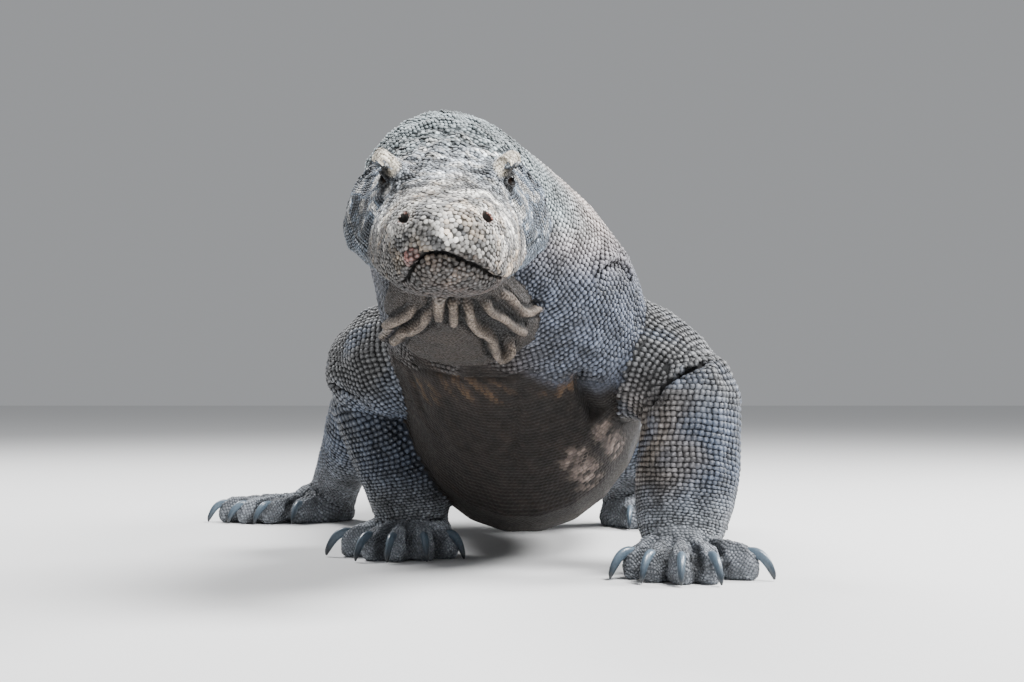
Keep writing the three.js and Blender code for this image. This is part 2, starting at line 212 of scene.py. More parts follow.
def normals_of(mesh):
    normal = np.empty(len(mesh.vertices) * 3, np.float32)
    mesh.vertex_normals.foreach_get("vector", normal)
    return normal.reshape(-1, 3).astype(float)


def triangles_of(mesh):
    mesh.calc_loop_triangles()
    triangles = np.empty(len(mesh.loop_triangles) * 3, np.int32)
    mesh.loop_triangles.foreach_get("vertices", triangles)
    return triangles.reshape(-1, 3)


def set_places(mesh, co):
    mesh.vertices.foreach_set("co", np.ascontiguousarray(co, np.float32).ravel())
    mesh.update()


def stand(mesh):
    """Flattens what would dip below the floor."""
    co = places_of(mesh)
    co[:, 2] = np.maximum(co[:, 2], 0.2 * MM)
    set_places(mesh, co)


def smooth(mesh):
    mesh.polygons.foreach_set("use_smooth", [True] * len(mesh.polygons))


def outward_facing(mesh):
    made = bmesh.new()
    made.from_mesh(mesh)
    bmesh.ops.recalc_face_normals(made, faces=made.faces)
    made.to_mesh(mesh)
    made.free()


def set_attribute(mesh, name, kind, values):
    field = {"FLOAT": "value", "FLOAT_VECTOR": "vector", "FLOAT_COLOR": "color"}[kind]
    layer = mesh.attributes.new(name, kind, "POINT")
    layer.data.foreach_set(field, np.ascontiguousarray(values, np.float32).ravel())


def refine(mesh, picked):
    """Halves the mesh width between the picked points."""
    shape = bmesh.new()
    shape.from_mesh(mesh)
    edges = [e for e in shape.edges if picked[e.verts[0].index] and picked[e.verts[1].index]]
    bmesh.ops.subdivide_edges(shape, edges=edges, cuts=1, use_grid_fill=True)
    shape.to_mesh(mesh)
    shape.free()


class Neighbours:
    """The neighbours of each point of a mesh, for evening things out over its surface."""

    def __init__(self, mesh):
        edges = np.empty(len(mesh.edges) * 2, np.int32)
        mesh.edges.foreach_get("vertices", edges)
        edges = edges.reshape(-1, 2)
        both = np.concatenate([edges, edges[:, ::-1]])
        both = both[np.argsort(both[:, 0], kind="stable")]
        self.near = both[:, 1]
        count = np.bincount(both[:, 0], minlength=len(mesh.vertices))
        self.start = np.concatenate([[0], np.cumsum(count)[:-1]])
        self.count = np.maximum(count, 1)

    def mean(self, values):
        total = np.add.reduceat(values[self.near], self.start, axis=0)
        return total / (self.count[:, None] if values.ndim > 1 else self.count)

    def even_out(self, values, rounds, share=0.5):
        for _ in range(rounds):
            values = values + share * (self.mean(values) - values)
        return values

    def relax(self, co, rounds, weight):
        """Evens out a surface without shrinking it. weight is from 0 to 1 at each point."""
        weight = weight[:, None]
        for _ in range(rounds):
            co = co + 0.6 * weight * (self.mean(co) - co)
            co = co - 0.615 * weight * (self.mean(co) - co)
        return co


def node_tree():
    """A search tree over all CAD faces of the body, and the node that each face belongs to."""
    points, faces, owner = [], [], []
    for index, node in enumerate(BODY_NODES):
        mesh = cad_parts[node].data
        start = len(points)
        points += [v.co for v in mesh.vertices]
        triangles = triangles_of(mesh)
        faces += (triangles + start).tolist()
        owner += [index] * len(triangles)
    return BVHTree.FromPolygons(points, faces), np.array(owner)


CAD_TREE, CAD_OWNER = node_tree()
NODE_NAMES = np.array(BODY_NODES)


def owners_of(co):
    """The name of the CAD node nearest to each place."""
    return NODE_NAMES[[CAD_OWNER[CAD_TREE.find_nearest(p)[2]] for p in co.tolist()]]


# ---------------------------------------------------------------------------------------------------------------
# Sculpting
# ---------------------------------------------------------------------------------------------------------------
class Sculpture:
    """A mesh being shaped by strokes along lines on its surface."""

    def __init__(self, mesh):
        self.mesh = mesh
        self.settle()
        self.tree = BVHTree.FromPolygons(self.co.tolist(), triangles_of(mesh).tolist())
        self.near = Neighbours(mesh)
        # The cleft mark says where painted shade goes in folds and openings. The pale mark says where pale
        # patches with painted highlights go.
        self.marks = {name: np.zeros(len(self.co)) for name in ("ribbon", "shaded_cleft", "pale")}

    def settle(self):
        self.co = places_of(self.mesh)
        self.normal = normals_of(self.mesh)

    def mark(self, name, picked, amount):
        """Notes how much each point belongs to a kind of form."""
        self.marks[name][picked] = np.maximum(self.marks[name][picked], amount)

    def shift(self, picked, move):
        self.co[picked] += move
        set_places(self.mesh, self.co)
        self.normal = normals_of(self.mesh)

    def within(self, line, reach):
        """The points within reach of a line, their distance to it in millimetres, how far they lie to its
        left seen from outside, and where along it, from 0 to 1."""
        low = line.min(0) - reach * MM
        high = line.max(0) + reach * MM
        picked = np.flatnonzero(np.all((self.co > low) & (self.co < high), axis=1))
        tangent = unit(np.gradient(line, axis=0))
        nearest = np.empty(len(picked), int)
        for part in np.array_split(np.arange(len(picked)), max(1, len(picked) // 4000)):
            gap = self.co[picked[part]][:, None] - line[None]
            nearest[part] = np.einsum("ijk,ijk->ij", gap, gap).argmin(1)
        away = self.co[picked] - line[nearest]
        side = np.cross(self.normal[picked], tangent[nearest])
        left = np.einsum("ij,ij->i", away, side) / MM
        distance = np.linalg.norm(away, axis=1) / MM
        keep = distance < reach
        return picked[keep], distance[keep], left[keep], (nearest / (len(line) - 1))[keep]

    def stroke(self, line, profile, reach, taper=0.12):
        """Moves the surface in or out near a line. profile gives the height for a distance and a side."""
        picked, distance, left, along = self.within(line, reach)
        ends = smooth_step(0, taper, along) * smooth_step(0, taper, 1 - along) if taper else 1
        height = profile(distance, left) * ends
        self.shift(picked, self.normal[picked] * (height * MM)[:, None])

    def snapped(self, points, step=1.5):
        """A smooth line through the places on the surface nearest to the given ones."""
        points = [self.tree.find_nearest(Vector(p))[0] for p in points.tolist()]
        return self.on_surface(points, step)

    def seen(self, pixels, step=1.5):
        """A smooth line through the places that show at the given pixels of the 1024 x 682 view."""
        eye = Vector(spots(CAMERA["at"]))
        middle = VIEW["middle"]
        points = []
        for x, y in pixels:
            ray = Vector(((x - middle[0]) / VIEW["focal"], 1, (middle[1] - y) / VIEW["focal"])).normalized()
            points.append(self.tree.ray_cast(eye, ray)[0])
        return self.on_surface(points, step)

    def on_surface(self, points, step):
        line = spline(np.array(points), step * MM)
        return np.array([self.tree.find_nearest(Vector(p))[0] for p in line.tolist()])


def ridge(height, width):
    return lambda distance, left: height * bell(distance, width)


def fold(swell, width, cut, cut_width):
    """A narrow cut, with the surface on its left swelling over it."""
    return lambda distance, left: swell * bell(left - width, width) - cut * bell(distance, cut_width)


# ---------------------------------------------------------------------------------------------------------------
# The body as one closed form
# ---------------------------------------------------------------------------------------------------------------
VOXEL = 4.0
SOFTENING = 45
BROW_SOFTENING = 26
# How far behind the snout, how high on the feet and how far from small forms the mesh is made finer, and then
# once more.
FINE = {"face": 190, "foot": 58, "throat": 16, "crease": 12}
FINEST = {"mouth": 9, "eye": 27, "nostril": 12, "throat": 9}
BROW = [(64, 128, 59), (61, 121, 61), (56, 113, 60), (51, 106, 56)]
UNDER_BROW = [(64, 126, 53), (57, 108, 53), (49, 102, 47), (43, 97, 43)]
SNOUT_EDGE = [(40, 92, 48), (38, 66, 43), (36, 40, 35), (33, 26, 30)]
UNDER_EYE = [(60, 108, 30), (63, 103, 18), (66, 105, 6)]
EAR = (84, 178, 16)
CHEEK_HOLLOW = [(58, 106, 33), (66, 107, 15), (73, 112, -3), (76, 118, -18), (73, 126, -32)]
JAW_MUSCLE = [(76, 158, 28), (84, 166, 10), (90, 172, -12), (84, 170, -34)]
# Lines in the head with the height, width and reach of the ridge or hollow along each.
HEAD_STROKES = [(CHEEK_HOLLOW, -6.0, 9, 24), (JAW_MUSCLE, 3.5, 14, 32), (SNOUT_EDGE, 2.2, 7, 18),
                (BROW, 4.6, 7.5, 20), (UNDER_BROW, -2.5, 3.5, 9)]
NOSTRILS = [(-37, 17, 24), (33, 16, 24)]
NOSTRIL = {"radius": 4.6, "depth": 9.0, "rim": 1.3}
MOUTH = [
    (-77, 152, -14), (-75, 125, -24), (-71, 92, -34), (-64, 60, -38), (-52, 32, -38), (-40, 14, -34),
    (-33, 2, -23), (-29, -3, -15), (-24, -6, -8), (-17, -8, -3), (-9, -9, -2), (-3, -9, -2), (6, -9, -5),
    (14, -8, -9), (23, -6, -13), (32, 0, -19), (40, 9, -25), (50, 28, -32), (62, 60, -36), (71, 92, -34),
    (75, 125, -22), (77, 152, -14),
]
LIP_NOTCH = [(-27, -3, 12), (-24, -5, 7), (-22, -6, 1), (-20, -7, -5)]
LIP_LUMP = (-30, -4, -6)
LOWER_LUMP = (42, 12, -27)
BROW_KNOB = (62, 124, 60)

# Lines on the throat and body, as pixels of the 1024 x 682 view. Ribbons have a height and a width, clefts a
# depth and a width.
THROAT_RIBBONS = [
    (5.0, 3.6, [(499.6, 292.8), (509, 296.8), (515.7, 304.8), (522.4, 311.5), (529.1, 312.9), (538.5, 308.8),
                (545, 312)]),
    (6.5, 3.8, [(479.5, 301), (486.2, 303.5), (490.3, 310.2), (499.6, 315.5), (506.3, 319.6), (511.7, 324.9),
                (519.7, 330.3), (525.1, 332.9)]),
    (8.5, 4.2, [(458, 301), (467, 305), (470, 312), (471, 319.6), (476.5, 327), (486, 332), (491.5, 338),
                (494, 346), (496, 352), (501, 355.7), (507.7, 351.7), (510.3, 345), (511.7, 340)]),
    (6.0, 5.2, [(439.4, 297), (439.2, 308), (439.0, 320)]),
    (6.0, 4.6, [(451, 299), (453.6, 310), (453.4, 324)]),
    (7.5, 4.6, [(430, 303), (426.5, 312), (423.6, 321), (412.6, 328.5), (401.5, 333), (397, 341)]),
    (6.5, 4.2, [(423, 303.5), (414.3, 308.8), (408.2, 314.5), (398.9, 319.9), (388.1, 324.6), (386.5, 332.9),
                (385.8, 341)]),
]
THROAT_CLEFTS = [
    (4.0, 2.6, [(446.7, 300), (446.4, 312), (446.2, 324)]),
    (4.0, 3.2, [(460, 306), (461.5, 315), (462, 325)]),
    (5.0, 2.6, [(427.5, 306), (417.9, 314), (408, 322.8), (397.9, 327.4), (393, 336)]),
    (4.5, 3.2, [(474.5, 307), (480, 317), (490, 323), (500, 330), (506, 337)]),
    (4.0, 3.0, [(498, 305), (506, 311), (515, 319), (528, 324)]),
]
THROAT_RIM = [(404.6, 361), (416.6, 366.4), (430, 371), (450, 376), (475.5, 378), (502.3, 378.5),
              (519.7, 374.5), (538, 366)]
NECK_POCKET = [(600, 284), (601, 274), (606, 267), (614, 264), (622, 265), (628, 272), (631, 284)]
ARMPIT = [(582, 370), (583, 386), (590, 402), (599, 418)]
CHEEK_RIM = [(531, 166), (536, 190), (543, 206), (547, 231), (546, 247)]
ELBOW_LEFT = [(712, 360), (697, 366), (686, 371), (674, 378), (664, 387), (656, 398), (649, 410), (645, 421)]
ELBOW_RIGHT = [(327, 380), (338, 388), (360, 399), (387, 415)]
# The chest's pale patches, which are also painted highlights on the belly's edge, have a reach, and its folds a
# depth.
PALE_AND_HIGHLIT_PATCHES = [(13, [(601, 428), (610, 438), (618, 450)]), (17, [(574, 456), (583, 468), (591, 480)])]
CHEST_FOLDS = [
    (2.5, [(407, 366), (412, 378), (416, 390), (424, 415)]),
    (2.0, [(399, 372), (406, 388), (412, 404)]),
    (3.0, [(519, 384), (517, 410), (515, 440), (514, 470)]),
    (2.0, [(570, 372), (568, 396), (577, 418)]),
]


def near_any(co, centres, reach):
    """Whether each place is within reach of one of the given ones."""
    tree = point_tree(centres)
    box = np.all((co > centres.min(0) - reach * MM) & (co < centres.max(0) + reach * MM), axis=1)
    picked = np.zeros(len(co), bool)
    index = np.flatnonzero(box)
    picked[index] = [tree.find(p)[2] < reach * MM for p in co[index].tolist()]
    return picked


def both_sides(points):
    """A line on the animal's left, and its mirror image in the head."""
    points = np.asarray(points, float)
    return [points, points * (-1, 1, 1)]


def eye_centre(hand):
    return from_head([sided(EYE["at"], hand)])[0]


def eye_look(hand):
    return HEAD_TURN @ unit(sided(EYE["look"], hand))


def body_form():
    """The flesh solids and eyeballs as one smooth closed mesh, finer where the small forms are."""
    mesh = remeshed(BODY_NODES, "skin", VOXEL)
    co = places_of(mesh)
    names = owners_of(co)
    is_foot = np.char.startswith(names, "foot_")
    is_head = np.isin(names, HEAD_NODES)
    near = Neighbours(mesh)
    weight = near.even_out(np.where(is_foot, 0.25, np.where(is_head, 0.6, 1.0)), 6)
    co = near.relax(co, SOFTENING, weight)
    brow_line = from_head(np.vstack([spline(line, 4) for line in both_sides(BROW)]))
    soft = near.even_out(near_any(co, brow_line, 14).astype(float), 4)[:, None]
    for _ in range(BROW_SOFTENING):
        co = co + 0.6 * soft * (near.mean(co) - co)
    set_places(mesh, co)

    sketch = Sculpture(mesh)
    throat = np.vstack([sketch.seen(line) for _, _, line in THROAT_RIBBONS])
    mouth = sketch.snapped(from_head(MOUTH))
    eyes = np.array([eye_centre(1), eye_centre(-1)])
    nostrils = sketch.snapped(from_head(NOSTRILS), 100)[[0, -1]]
    creases = np.vstack([sketch.seen(line) for line in (ELBOW_LEFT, ELBOW_RIGHT, NECK_POCKET, ARMPIT)])

    def smaller(picked, rounds):
        refine(mesh, picked)
        near = Neighbours(mesh)
        co = places_of(mesh)
        return near.relax(co, rounds, np.ones(len(co))) if rounds else co

    head = to_head(sketch.co)
    low_foot = station(sketch.co)[:, 2] < FINE["foot"]
    on_foot = is_foot | (np.char.startswith(names, "leg_") & low_foot)
    fine = on_foot | (is_head & (head[:, 1] < FINE["face"]))
    fine |= near_any(sketch.co, throat, FINE["throat"]) | near_any(sketch.co, creases, FINE["crease"])
    co = smaller(fine, 4)
    set_places(mesh, co)
    finest = near_any(co, mouth, FINEST["mouth"]) | near_any(co, eyes, FINEST["eye"])
    finest |= near_any(co, nostrils, FINEST["nostril"]) | near_any(co, throat, FINEST["throat"])
    co = smaller(finest, 3)
    set_places(mesh, co)
    return mesh


def shape_eye(work, hand):
    """Sets an eye opening with its two lids round an eyeball."""
    centre = eye_centre(hand)
    look = eye_look(hand)
    up = unit(HEAD_TURN @ np.array([0, 0, 1]) - look * (look @ (HEAD_TURN @ np.array([0, 0, 1]))))
    back = np.cross(look, up) * hand
    back = back if back @ HEAD_TURN[:, 1] > 0 else -back
    from_centre = (work.co - centre) / MM
    reach = np.linalg.norm(from_centre, axis=1)
    picked = np.flatnonzero((reach < 30) & (from_centre @ look > 0))
    away = from_centre[picked]
    reach = reach[picked]
    x = away @ back
    y = away @ up
    half = EYE_OPENING["half_length"]
    bow = np.clip(1 - (x / half) ** 2, 0, 1)
    tilt = 0.12 * x
    outside = np.maximum(y - tilt - EYE_OPENING["above"] * bow, -y + tilt - EYE_OPENING["below"] * bow)
    outside = np.where(np.abs(x) > half, np.hypot(np.abs(x) - half, y - tilt), outside)
    radius = EYE["radius"]
    lid = radius + 2.0 * smooth_step(-0.5, 0.8, outside) - 1.1 * bell(outside - 4.2, 1.2)
    lid = lid - 3.0 * (1 - smooth_step(-0.6, 0.4, outside))
    merge = smooth_step(4.5, 11, outside)
    target = lid + (reach - lid) * merge
    work.shift(picked, unit(away) * ((target - reach) * MM)[:, None])


def nostrils_of(work):
    """The middle of each nostril and the way into it."""
    for place in NOSTRILS:
        hole, normal = work.tree.find_nearest(Vector(from_head([place])[0]))[:2]
        yield np.array(hole), unit(0.6 * HEAD_TURN[:, 1] - np.array(normal))


def bulge(work, place, height, width):
    """Raises a round lump on the head."""
    middle = np.array(work.tree.find_nearest(Vector(from_head([place])[0]))[0])
    distance = np.linalg.norm(work.co - middle, axis=1) / MM
    picked = np.flatnonzero(distance < 2.5 * width)
    work.shift(picked, work.normal[picked] * (height * bell(distance[picked], width) * MM)[:, None])


def sink_ear(work, hand):
    """An oval ear opening behind the jaw's muscle."""
    middle, outward = work.tree.find_nearest(Vector(from_head([sided(EAR, hand)])[0]))[:2]
    away = (work.co - np.array(middle)) / MM
    picked = np.flatnonzero(np.linalg.norm(away, axis=1) < 20)
    local = away[picked] @ HEAD_TURN
    off = np.hypot(local[:, 1] / 4.2, local[:, 2] / 7.5)
    depth = 6.0 * (1 - smooth_step(0.45, 1.0, off)) - 1.2 * bell(off - 1.4, 0.35)
    work.shift(picked, -np.array(outward) * (depth * MM)[:, None])
    # Painted shade in the ear opening.
    work.mark("shaded_cleft", picked, smooth_step(1.0, 0.7, off))


def shape_head(work):
    for side in (0, 1):
        for line, height, width, reach in HEAD_STROKES:
            work.stroke(work.snapped(from_head(both_sides(line)[side])), ridge(height, width), reach)
    for hand in (1, -1):
        shape_eye(work, hand)
    mouth = work.snapped(from_head(MOUTH))

    def lips(distance, left):
        return 2.0 * bell(left - 6, 4.5) - 2.4 * bell(left + 5, 4.0) - 6.5 * bell(distance, 1.9)

    picked, distance, _, along = work.within(mouth, 6)
    # Painted shade in the gap of the mouth, wider where it is parted.
    parted = 0.7 + 0.45 * smooth_step(0.3, 0.42, along) * smooth_step(0.7, 0.55, along)
    work.mark("shaded_cleft", picked, smooth_step(2.2, 0.8, distance / parted))
    work.stroke(mouth, lips, 15, 0.06)
    work.stroke(work.snapped(from_head(LIP_NOTCH)), ridge(-4.5, 1.9), 7, 0.3)
    bulge(work, LIP_LUMP, 3.5, 5.5)
    bulge(work, LOWER_LUMP, 2.5, 4.5)
    for hand in (1, -1):
        bulge(work, sided(BROW_KNOB, hand), 4.0, 7.5)
    for hand in (1, -1):
        sink_ear(work, hand)
    for hole, inward in nostrils_of(work):
        away = (work.co - hole) / MM
        picked = np.flatnonzero(np.linalg.norm(away, axis=1) < 14)
        d = np.linalg.norm(np.cross(away[picked], inward), axis=1)
        deep = NOSTRIL["depth"] * (1 - smooth_step(0.55, 1.0, d / NOSTRIL["radius"]))
        rim = NOSTRIL["rim"] * bell(d - 1.45 * NOSTRIL["radius"], 2.0)
        work.shift(picked, inward * ((deep - rim) * MM)[:, None])


def shape_throat(work):
    """Raises the ribbons of skin under the chin, sinks the clefts between them, and marks both."""
    count = len(work.co)
    top, share, ditch = np.zeros(count), np.zeros(count), np.zeros(count)
    for height, width, line in RIBBON_LINES:
        picked, distance, _, along = work.within(line, 3.2 * width)
        ends = smooth_step(0, 0.1, along) * smooth_step(0, 0.1, 1 - along)
        flat = ends * np.exp(-(distance / width) ** 4)
        top[picked] = np.maximum(top[picked], height * flat)
        share[picked] = np.maximum(share[picked], flat)
        beside = 0.5 * height * ends * bell(distance - 1.9 * width, 0.55 * width)
        ditch[picked] = np.maximum(ditch[picked], beside)
    for depth, width, line in CLEFT_LINES:
        picked, distance, _, _ = work.within(line, 3 * width)
        ditch[picked] = np.maximum(ditch[picked], depth * bell(distance, width))
    ditch = ditch * (1 - share)
    work.mark("ribbon", np.arange(count), share)
    # Painted shade in the clefts between the ribbons.
    work.mark("shaded_cleft", np.arange(count), smooth_step(0.4, 3.0, ditch))
    move = work.near.even_out(top - ditch, 1)
    way = unit(work.near.even_out(work.normal, 6))
    work.shift(np.arange(count), way * (move * MM)[:, None])


def crease(work, line, profile, reach, wide, dark):
    """A deep fold, with painted shade at its bottom."""
    picked, distance, _, along = work.within(line, reach)
    ends = smooth_step(0, 0.2, along) * smooth_step(0, 0.08, 1 - along)
    work.mark("shaded_cleft", picked, dark * ends * smooth_step(1.6, 0.3, distance / wide))
    work.stroke(line, profile, reach, 0.1)


def shape_body(work):
    work.stroke(work.seen(THROAT_RIM), fold(3.0, 8, 5.0, 4), 24)
    crease(work, work.seen(NECK_POCKET), fold(4.0, 6, 4.0, 4.0), 20, 4, 0.3)
    crease(work, work.seen(ARMPIT), ridge(-12, 8), 24, 10, 0.55)
    work.stroke(work.seen(CHEEK_RIM), fold(2.0, 4, 2.5, 3), 14)
    crease(work, work.seen(ELBOW_LEFT), fold(5.5, 14, 7.5, 3.4), 34, 3.0, 0.95)
    crease(work, work.seen(ELBOW_RIGHT), fold(4.0, 12, 7.0, 3.6), 30, 3.2, 0.95)
    for depth, line in CHEST_FOLDS:
        work.stroke(work.seen(line), ridge(-depth, 5), 15)
    # Pale patches on the belly's edge, which are also painted highlights.
    for reach, line in PALE_AND_HIGHLIT_PATCHES:
        picked, distance, _, _ = work.within(work.seen(line), 1.5 * reach)
        work.mark("pale", picked, smooth_step(1.4, 0.3, distance / reach))


def shape_crown(work):
    """The coarse knobs of the crown and nape."""
    _, back, high = to_head(work.co).T
    where = smooth_step(105, 140, back) * smooth_step(330, 250, back) * smooth_step(20, 50, high)
    knobs = wobble(work.co, 17) + 0.7 * wobble(work.co[:, ::-1], 11)
    work.shift(np.arange(len(work.co)), work.normal * (where * 1.1 * knobs * MM)[:, None])


def claw_ends(leg, digit):
    """The middle of the end of a claw that is set in its toe, and its tip."""
    co = station(places_of(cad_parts[f"claw_{leg}_{digit}"].data))
    reach = np.linalg.norm((co - LIMBS[leg][1][-1])[:, :2], axis=1)
    return co[reach < reach.min() + 0.2 * np.ptp(reach)].mean(0), co[reach.argmax()]


# How far out from the wrist or ankle a groove between two toes runs, counted in the reach of the claws'
# roots, and how high it lies.
TOE_GROOVE = [(0.5, 46), (0.7, 40), (0.9, 32), (1.04, 20), (1.1, 6)]
TOE_GROOVE_DEPTH = 11.0
# How much the toes swell round a claw's root, how much longer they grow, and where a wrinkle crosses a toe,
# counted in the same way, with its depth.
SHEATH = 1.8
TOE_LONGER = 10
KNUCKLES = [(0.62, 1.2), (0.74, 1.5), (0.86, 1.3)]


def shape_feet(work):
    for leg in LEGS:
        on_foot = work.names == f"foot_{leg}"
        middle = np.array(LIMBS[leg][1][-1], float) * (1, 1, 0)
        roots = [claw_ends(leg, digit)[0] for digit in DIGITS]
        for one, other in zip(roots, roots[1:]):
            between = (one + other) / 2 - middle
            line = [middle + between * (out, out, 0) + (0, 0, high) for out, high in TOE_GROOVE]
            line = work.snapped(spots(line))
            picked, distance, _, along = work.within(line, 9)
            # Painted shade in the groove between two toes.
            work.mark("shaded_cleft", picked, 0.55 * smooth_step(8, 2, distance) * smooth_step(0.1, 0.6, along))
            work.stroke(line, ridge(-TOE_GROOVE_DEPTH, 4.2), 13, 0.3)
        for root in roots:
            toe = unit((root - middle) * (1, 1, 0))
            across = np.array([-toe[1], toe[0], 0])
            for share, depth in KNUCKLES:
                place = middle + (root - middle) * (share, share, 0) + (0, 0, 46)
                line = work.snapped(spots([place - across * 11, place, place + across * 11]))
                work.stroke(line, ridge(-depth, 2.2), 7)
            ahead = (station(work.co) - middle) @ toe
            aside = (station(work.co) - middle) @ across
            reach = np.linalg.norm((root - middle)[:2])
            longer = smooth_step(reach - 34, reach + 4, ahead) * smooth_step(16, 9, np.abs(aside))
            work.shift(np.arange(len(work.co)), toe * (TOE_LONGER * longer * on_foot * MM)[:, None])
            root = root + toe * TOE_LONGER
            way = unit((root - middle) * (1, 1, 0) + (0, 0, -8))
            away = station(work.co) - root
            picked = np.flatnonzero(np.linalg.norm(away, axis=1) < 22)
            round_claw = np.linalg.norm(np.cross(away[picked], way), axis=1)
            swell = SHEATH * bell(round_claw - 7.5, 2.0) * smooth_step(-16, -4, away[picked] @ way)
            work.shift(picked, work.normal[picked] * (swell * MM)[:, None])


skin_mesh = body_form()
work = Sculpture(skin_mesh)
RIBBON_LINES = [(height, width, work.seen(line)) for height, width, line in THROAT_RIBBONS]
CLEFT_LINES = [(depth, width, work.seen(line)) for depth, width, line in THROAT_CLEFTS]
shape_head(work)
shape_throat(work)
shape_body(work)
shape_crown(work)
work.names = owners_of(work.co)
shape_feet(work)


# ---------------------------------------------------------------------------------------------------------------
# Shader maths
# ---------------------------------------------------------------------------------------------------------------
def linear(code):
    """A colour given as an sRGB hex code, as linear numbers."""
    values = np.array([int(code[i:i + 2], 16) for i in (0, 2, 4)]) / 255
    return np.where(values <= 0.04045, values / 12.92, ((values + 0.055) / 1.055) ** 2.4)


class Wire:
    """A socket of a shader's nodes. Operators on it add the Math nodes that work them out."""

    def __init__(self, tree, socket):
        self.tree = tree
        self.socket = socket

    def math(self, operation, *values):
        return self.tree.add("ShaderNodeMath", {"operation": operation}, dict(enumerate(values)))

    def __add__(self, other):
        return self.math("ADD", self, other)

    def __rsub__(self, other):
        return self.math("SUBTRACT", other, self)

    def __mul__(self, other):
        return self.math("MULTIPLY", self, other)

    __radd__ = __add__
    __rmul__ = __mul__

    def between(self, low, high):
        """0 below low, 1 above high, and a smooth step from one to the other."""
        inputs = {"Value": self, "From Min": low, "From Max": high}
        return self.tree.add("ShaderNodeMapRange", {"interpolation_type": "SMOOTHSTEP"}, inputs)


# The places of a Mix node's two colour inputs and of its colour output.
MIX_FIRST = 6
MIX_SECOND = 7
MIX_RESULT = 2


class Paint:
    """A material's node tree, with one method that adds any node."""

    def __init__(self, name):
        self.material = bpy.data.materials.new(name)
        self.material.use_nodes = True
        self.nodes = self.material.node_tree.nodes
        self.links = self.material.node_tree.links
        self.nodes.clear()
        self.shader = self.nodes.new("ShaderNodeBsdfPrincipled")
        output = self.nodes.new("ShaderNodeOutputMaterial")
        self.links.new(self.shader.outputs[0], output.inputs["Surface"])

    def add(self, kind, settings, inputs, output=0):
        node = self.nodes.new(kind)
        for name, value in settings.items():
            setattr(node, name, value)
        for name, value in inputs.items():
            self.plug(node.inputs[name], value)
        return Wire(self, node.outputs[output])

    def plug(self, socket, value):
        if isinstance(value, Wire):
            self.links.new(value.socket, socket)
        else:
            socket.default_value = value

    def attribute(self, name, output):
        return self.add("ShaderNodeAttribute", {"attribute_name": name}, {}, output)

    def place(self):
        return self.add("ShaderNodeTexCoord", {}, {}, "Object")

    def noise(self, per_metre, detail=3.0, roughness=0.55):
        inputs = {"Vector": self.place(), "Scale": per_metre, "Detail": detail, "Roughness": roughness}
        return self.add("ShaderNodeTexNoise", {}, inputs, "Fac")

    def mix(self, kind, factor, first, second):
        node = self.nodes.new("ShaderNodeMix")
        node.data_type = "RGBA"
        node.blend_type = kind
        self.plug(node.inputs["Factor"], factor)
        self.plug(node.inputs[MIX_FIRST], first)
        self.plug(node.inputs[MIX_SECOND], second)
        return Wire(self, node.outputs[MIX_RESULT])

    def grey(self, value):
        return self.add("ShaderNodeCombineColor", {}, {"Red": value, "Green": value, "Blue": value})

    def bump(self, height, distance, strength=1.0):
        inputs = {"Height": height, "Distance": distance, "Strength": strength}
        return self.add("ShaderNodeBump", {}, inputs, "Normal")

    def finish(self, **values):
        for name, value in values.items():
            self.plug(self.shader.inputs[name.replace("_", " ")], value)
        return self.material


def colour(code):
    return (*linear(code), 1.0)


def skin_paint():
    """The hide between and under the scales: dark with the painted shade of the gaps in its tint, dusty and
    faintly wrinkled.
    """
    p = Paint("hide")
    tint = p.attribute("tint", "Color")
    patches = p.noise(90).between(0.3, 0.72)
    grit = p.noise(900, 2)
    shade = 0.62 + 0.5 * patches
    shade = shade * (0.75 + 0.5 * grit)
    base = p.mix("MULTIPLY", 1.0, tint, p.grey(shade))
    return p.finish(
        Base_Color=base,
        Roughness=0.85 + 0.1 * (1 - patches),
        Normal=p.bump(grit, 0.0006, 0.6),
    )


def scale_paint():
    """Horny scales: worn crowns with a painted highlight, painted shade at the roots, dust in patches and a
    faint shine.
    """
    p = Paint("scales")
    tint = p.attribute("tint", "Color")
    depth = p.attribute("tint", "Alpha")
    rise = p.attribute("rise", "Fac")
    patches = p.noise(38, 4).between(0.32, 0.7)
    speckle = p.noise(330, 3).between(0.35, 0.68)
    grit = p.noise(1500, 3)
    # Painted shade: each scale darkens down its sides towards the gaps, more where the gaps are deep.
    painted_root_shade = depth * (1 - rise.between(0.12, 0.98))
    shade = (1 - 0.95 * painted_root_shade) * (0.62 + 0.55 * patches) * (0.84 + 0.32 * grit)
    base = p.mix("MULTIPLY", 1.0, tint, p.grey(shade))
    # Wear and a painted highlight: the crowns are lightened towards pale grey.
    wear_and_highlight = rise.between(0.75, 1.0) * speckle * 0.75 * depth
    base = p.mix("MIX", wear_and_highlight, base, p.mix("SCREEN", 0.4, base, colour("c6c8ca")))
    grime = (1 - patches) * (1 - speckle) * 0.5
    base = p.mix("MIX", grime, base, p.mix("MULTIPLY", 1.0, base, colour("6d5f52")))
    return p.finish(
        Base_Color=base,
        Roughness=0.4 + 0.25 * speckle + 0.3 * (1 - depth),
        Normal=p.bump(grit, 0.0004, 0.5),
    )


def claw_paint():
    """Polished blue-grey horn, darker and worn at the tip, with fine streaks along it."""
    p = Paint("claw_horn")
    along = p.attribute("along", "Fac")
    streaks = p.noise(500, 3)
    base = p.mix("MIX", along.between(0.45, 1.0), colour("61717f"), colour("181d23"))
    base = p.mix("MIX", (1 - along.between(0.0, 0.2)) * 0.8, base, colour("5a544d"))
    base = p.mix("MULTIPLY", 1.0, base, p.grey(0.55 + 0.75 * streaks))
    return p.finish(
        Base_Color=base,
        Roughness=0.2 + 0.28 * streaks,
        Coat_Weight=0.35,
        Normal=p.bump(streaks, 0.0005, 0.4),
    )


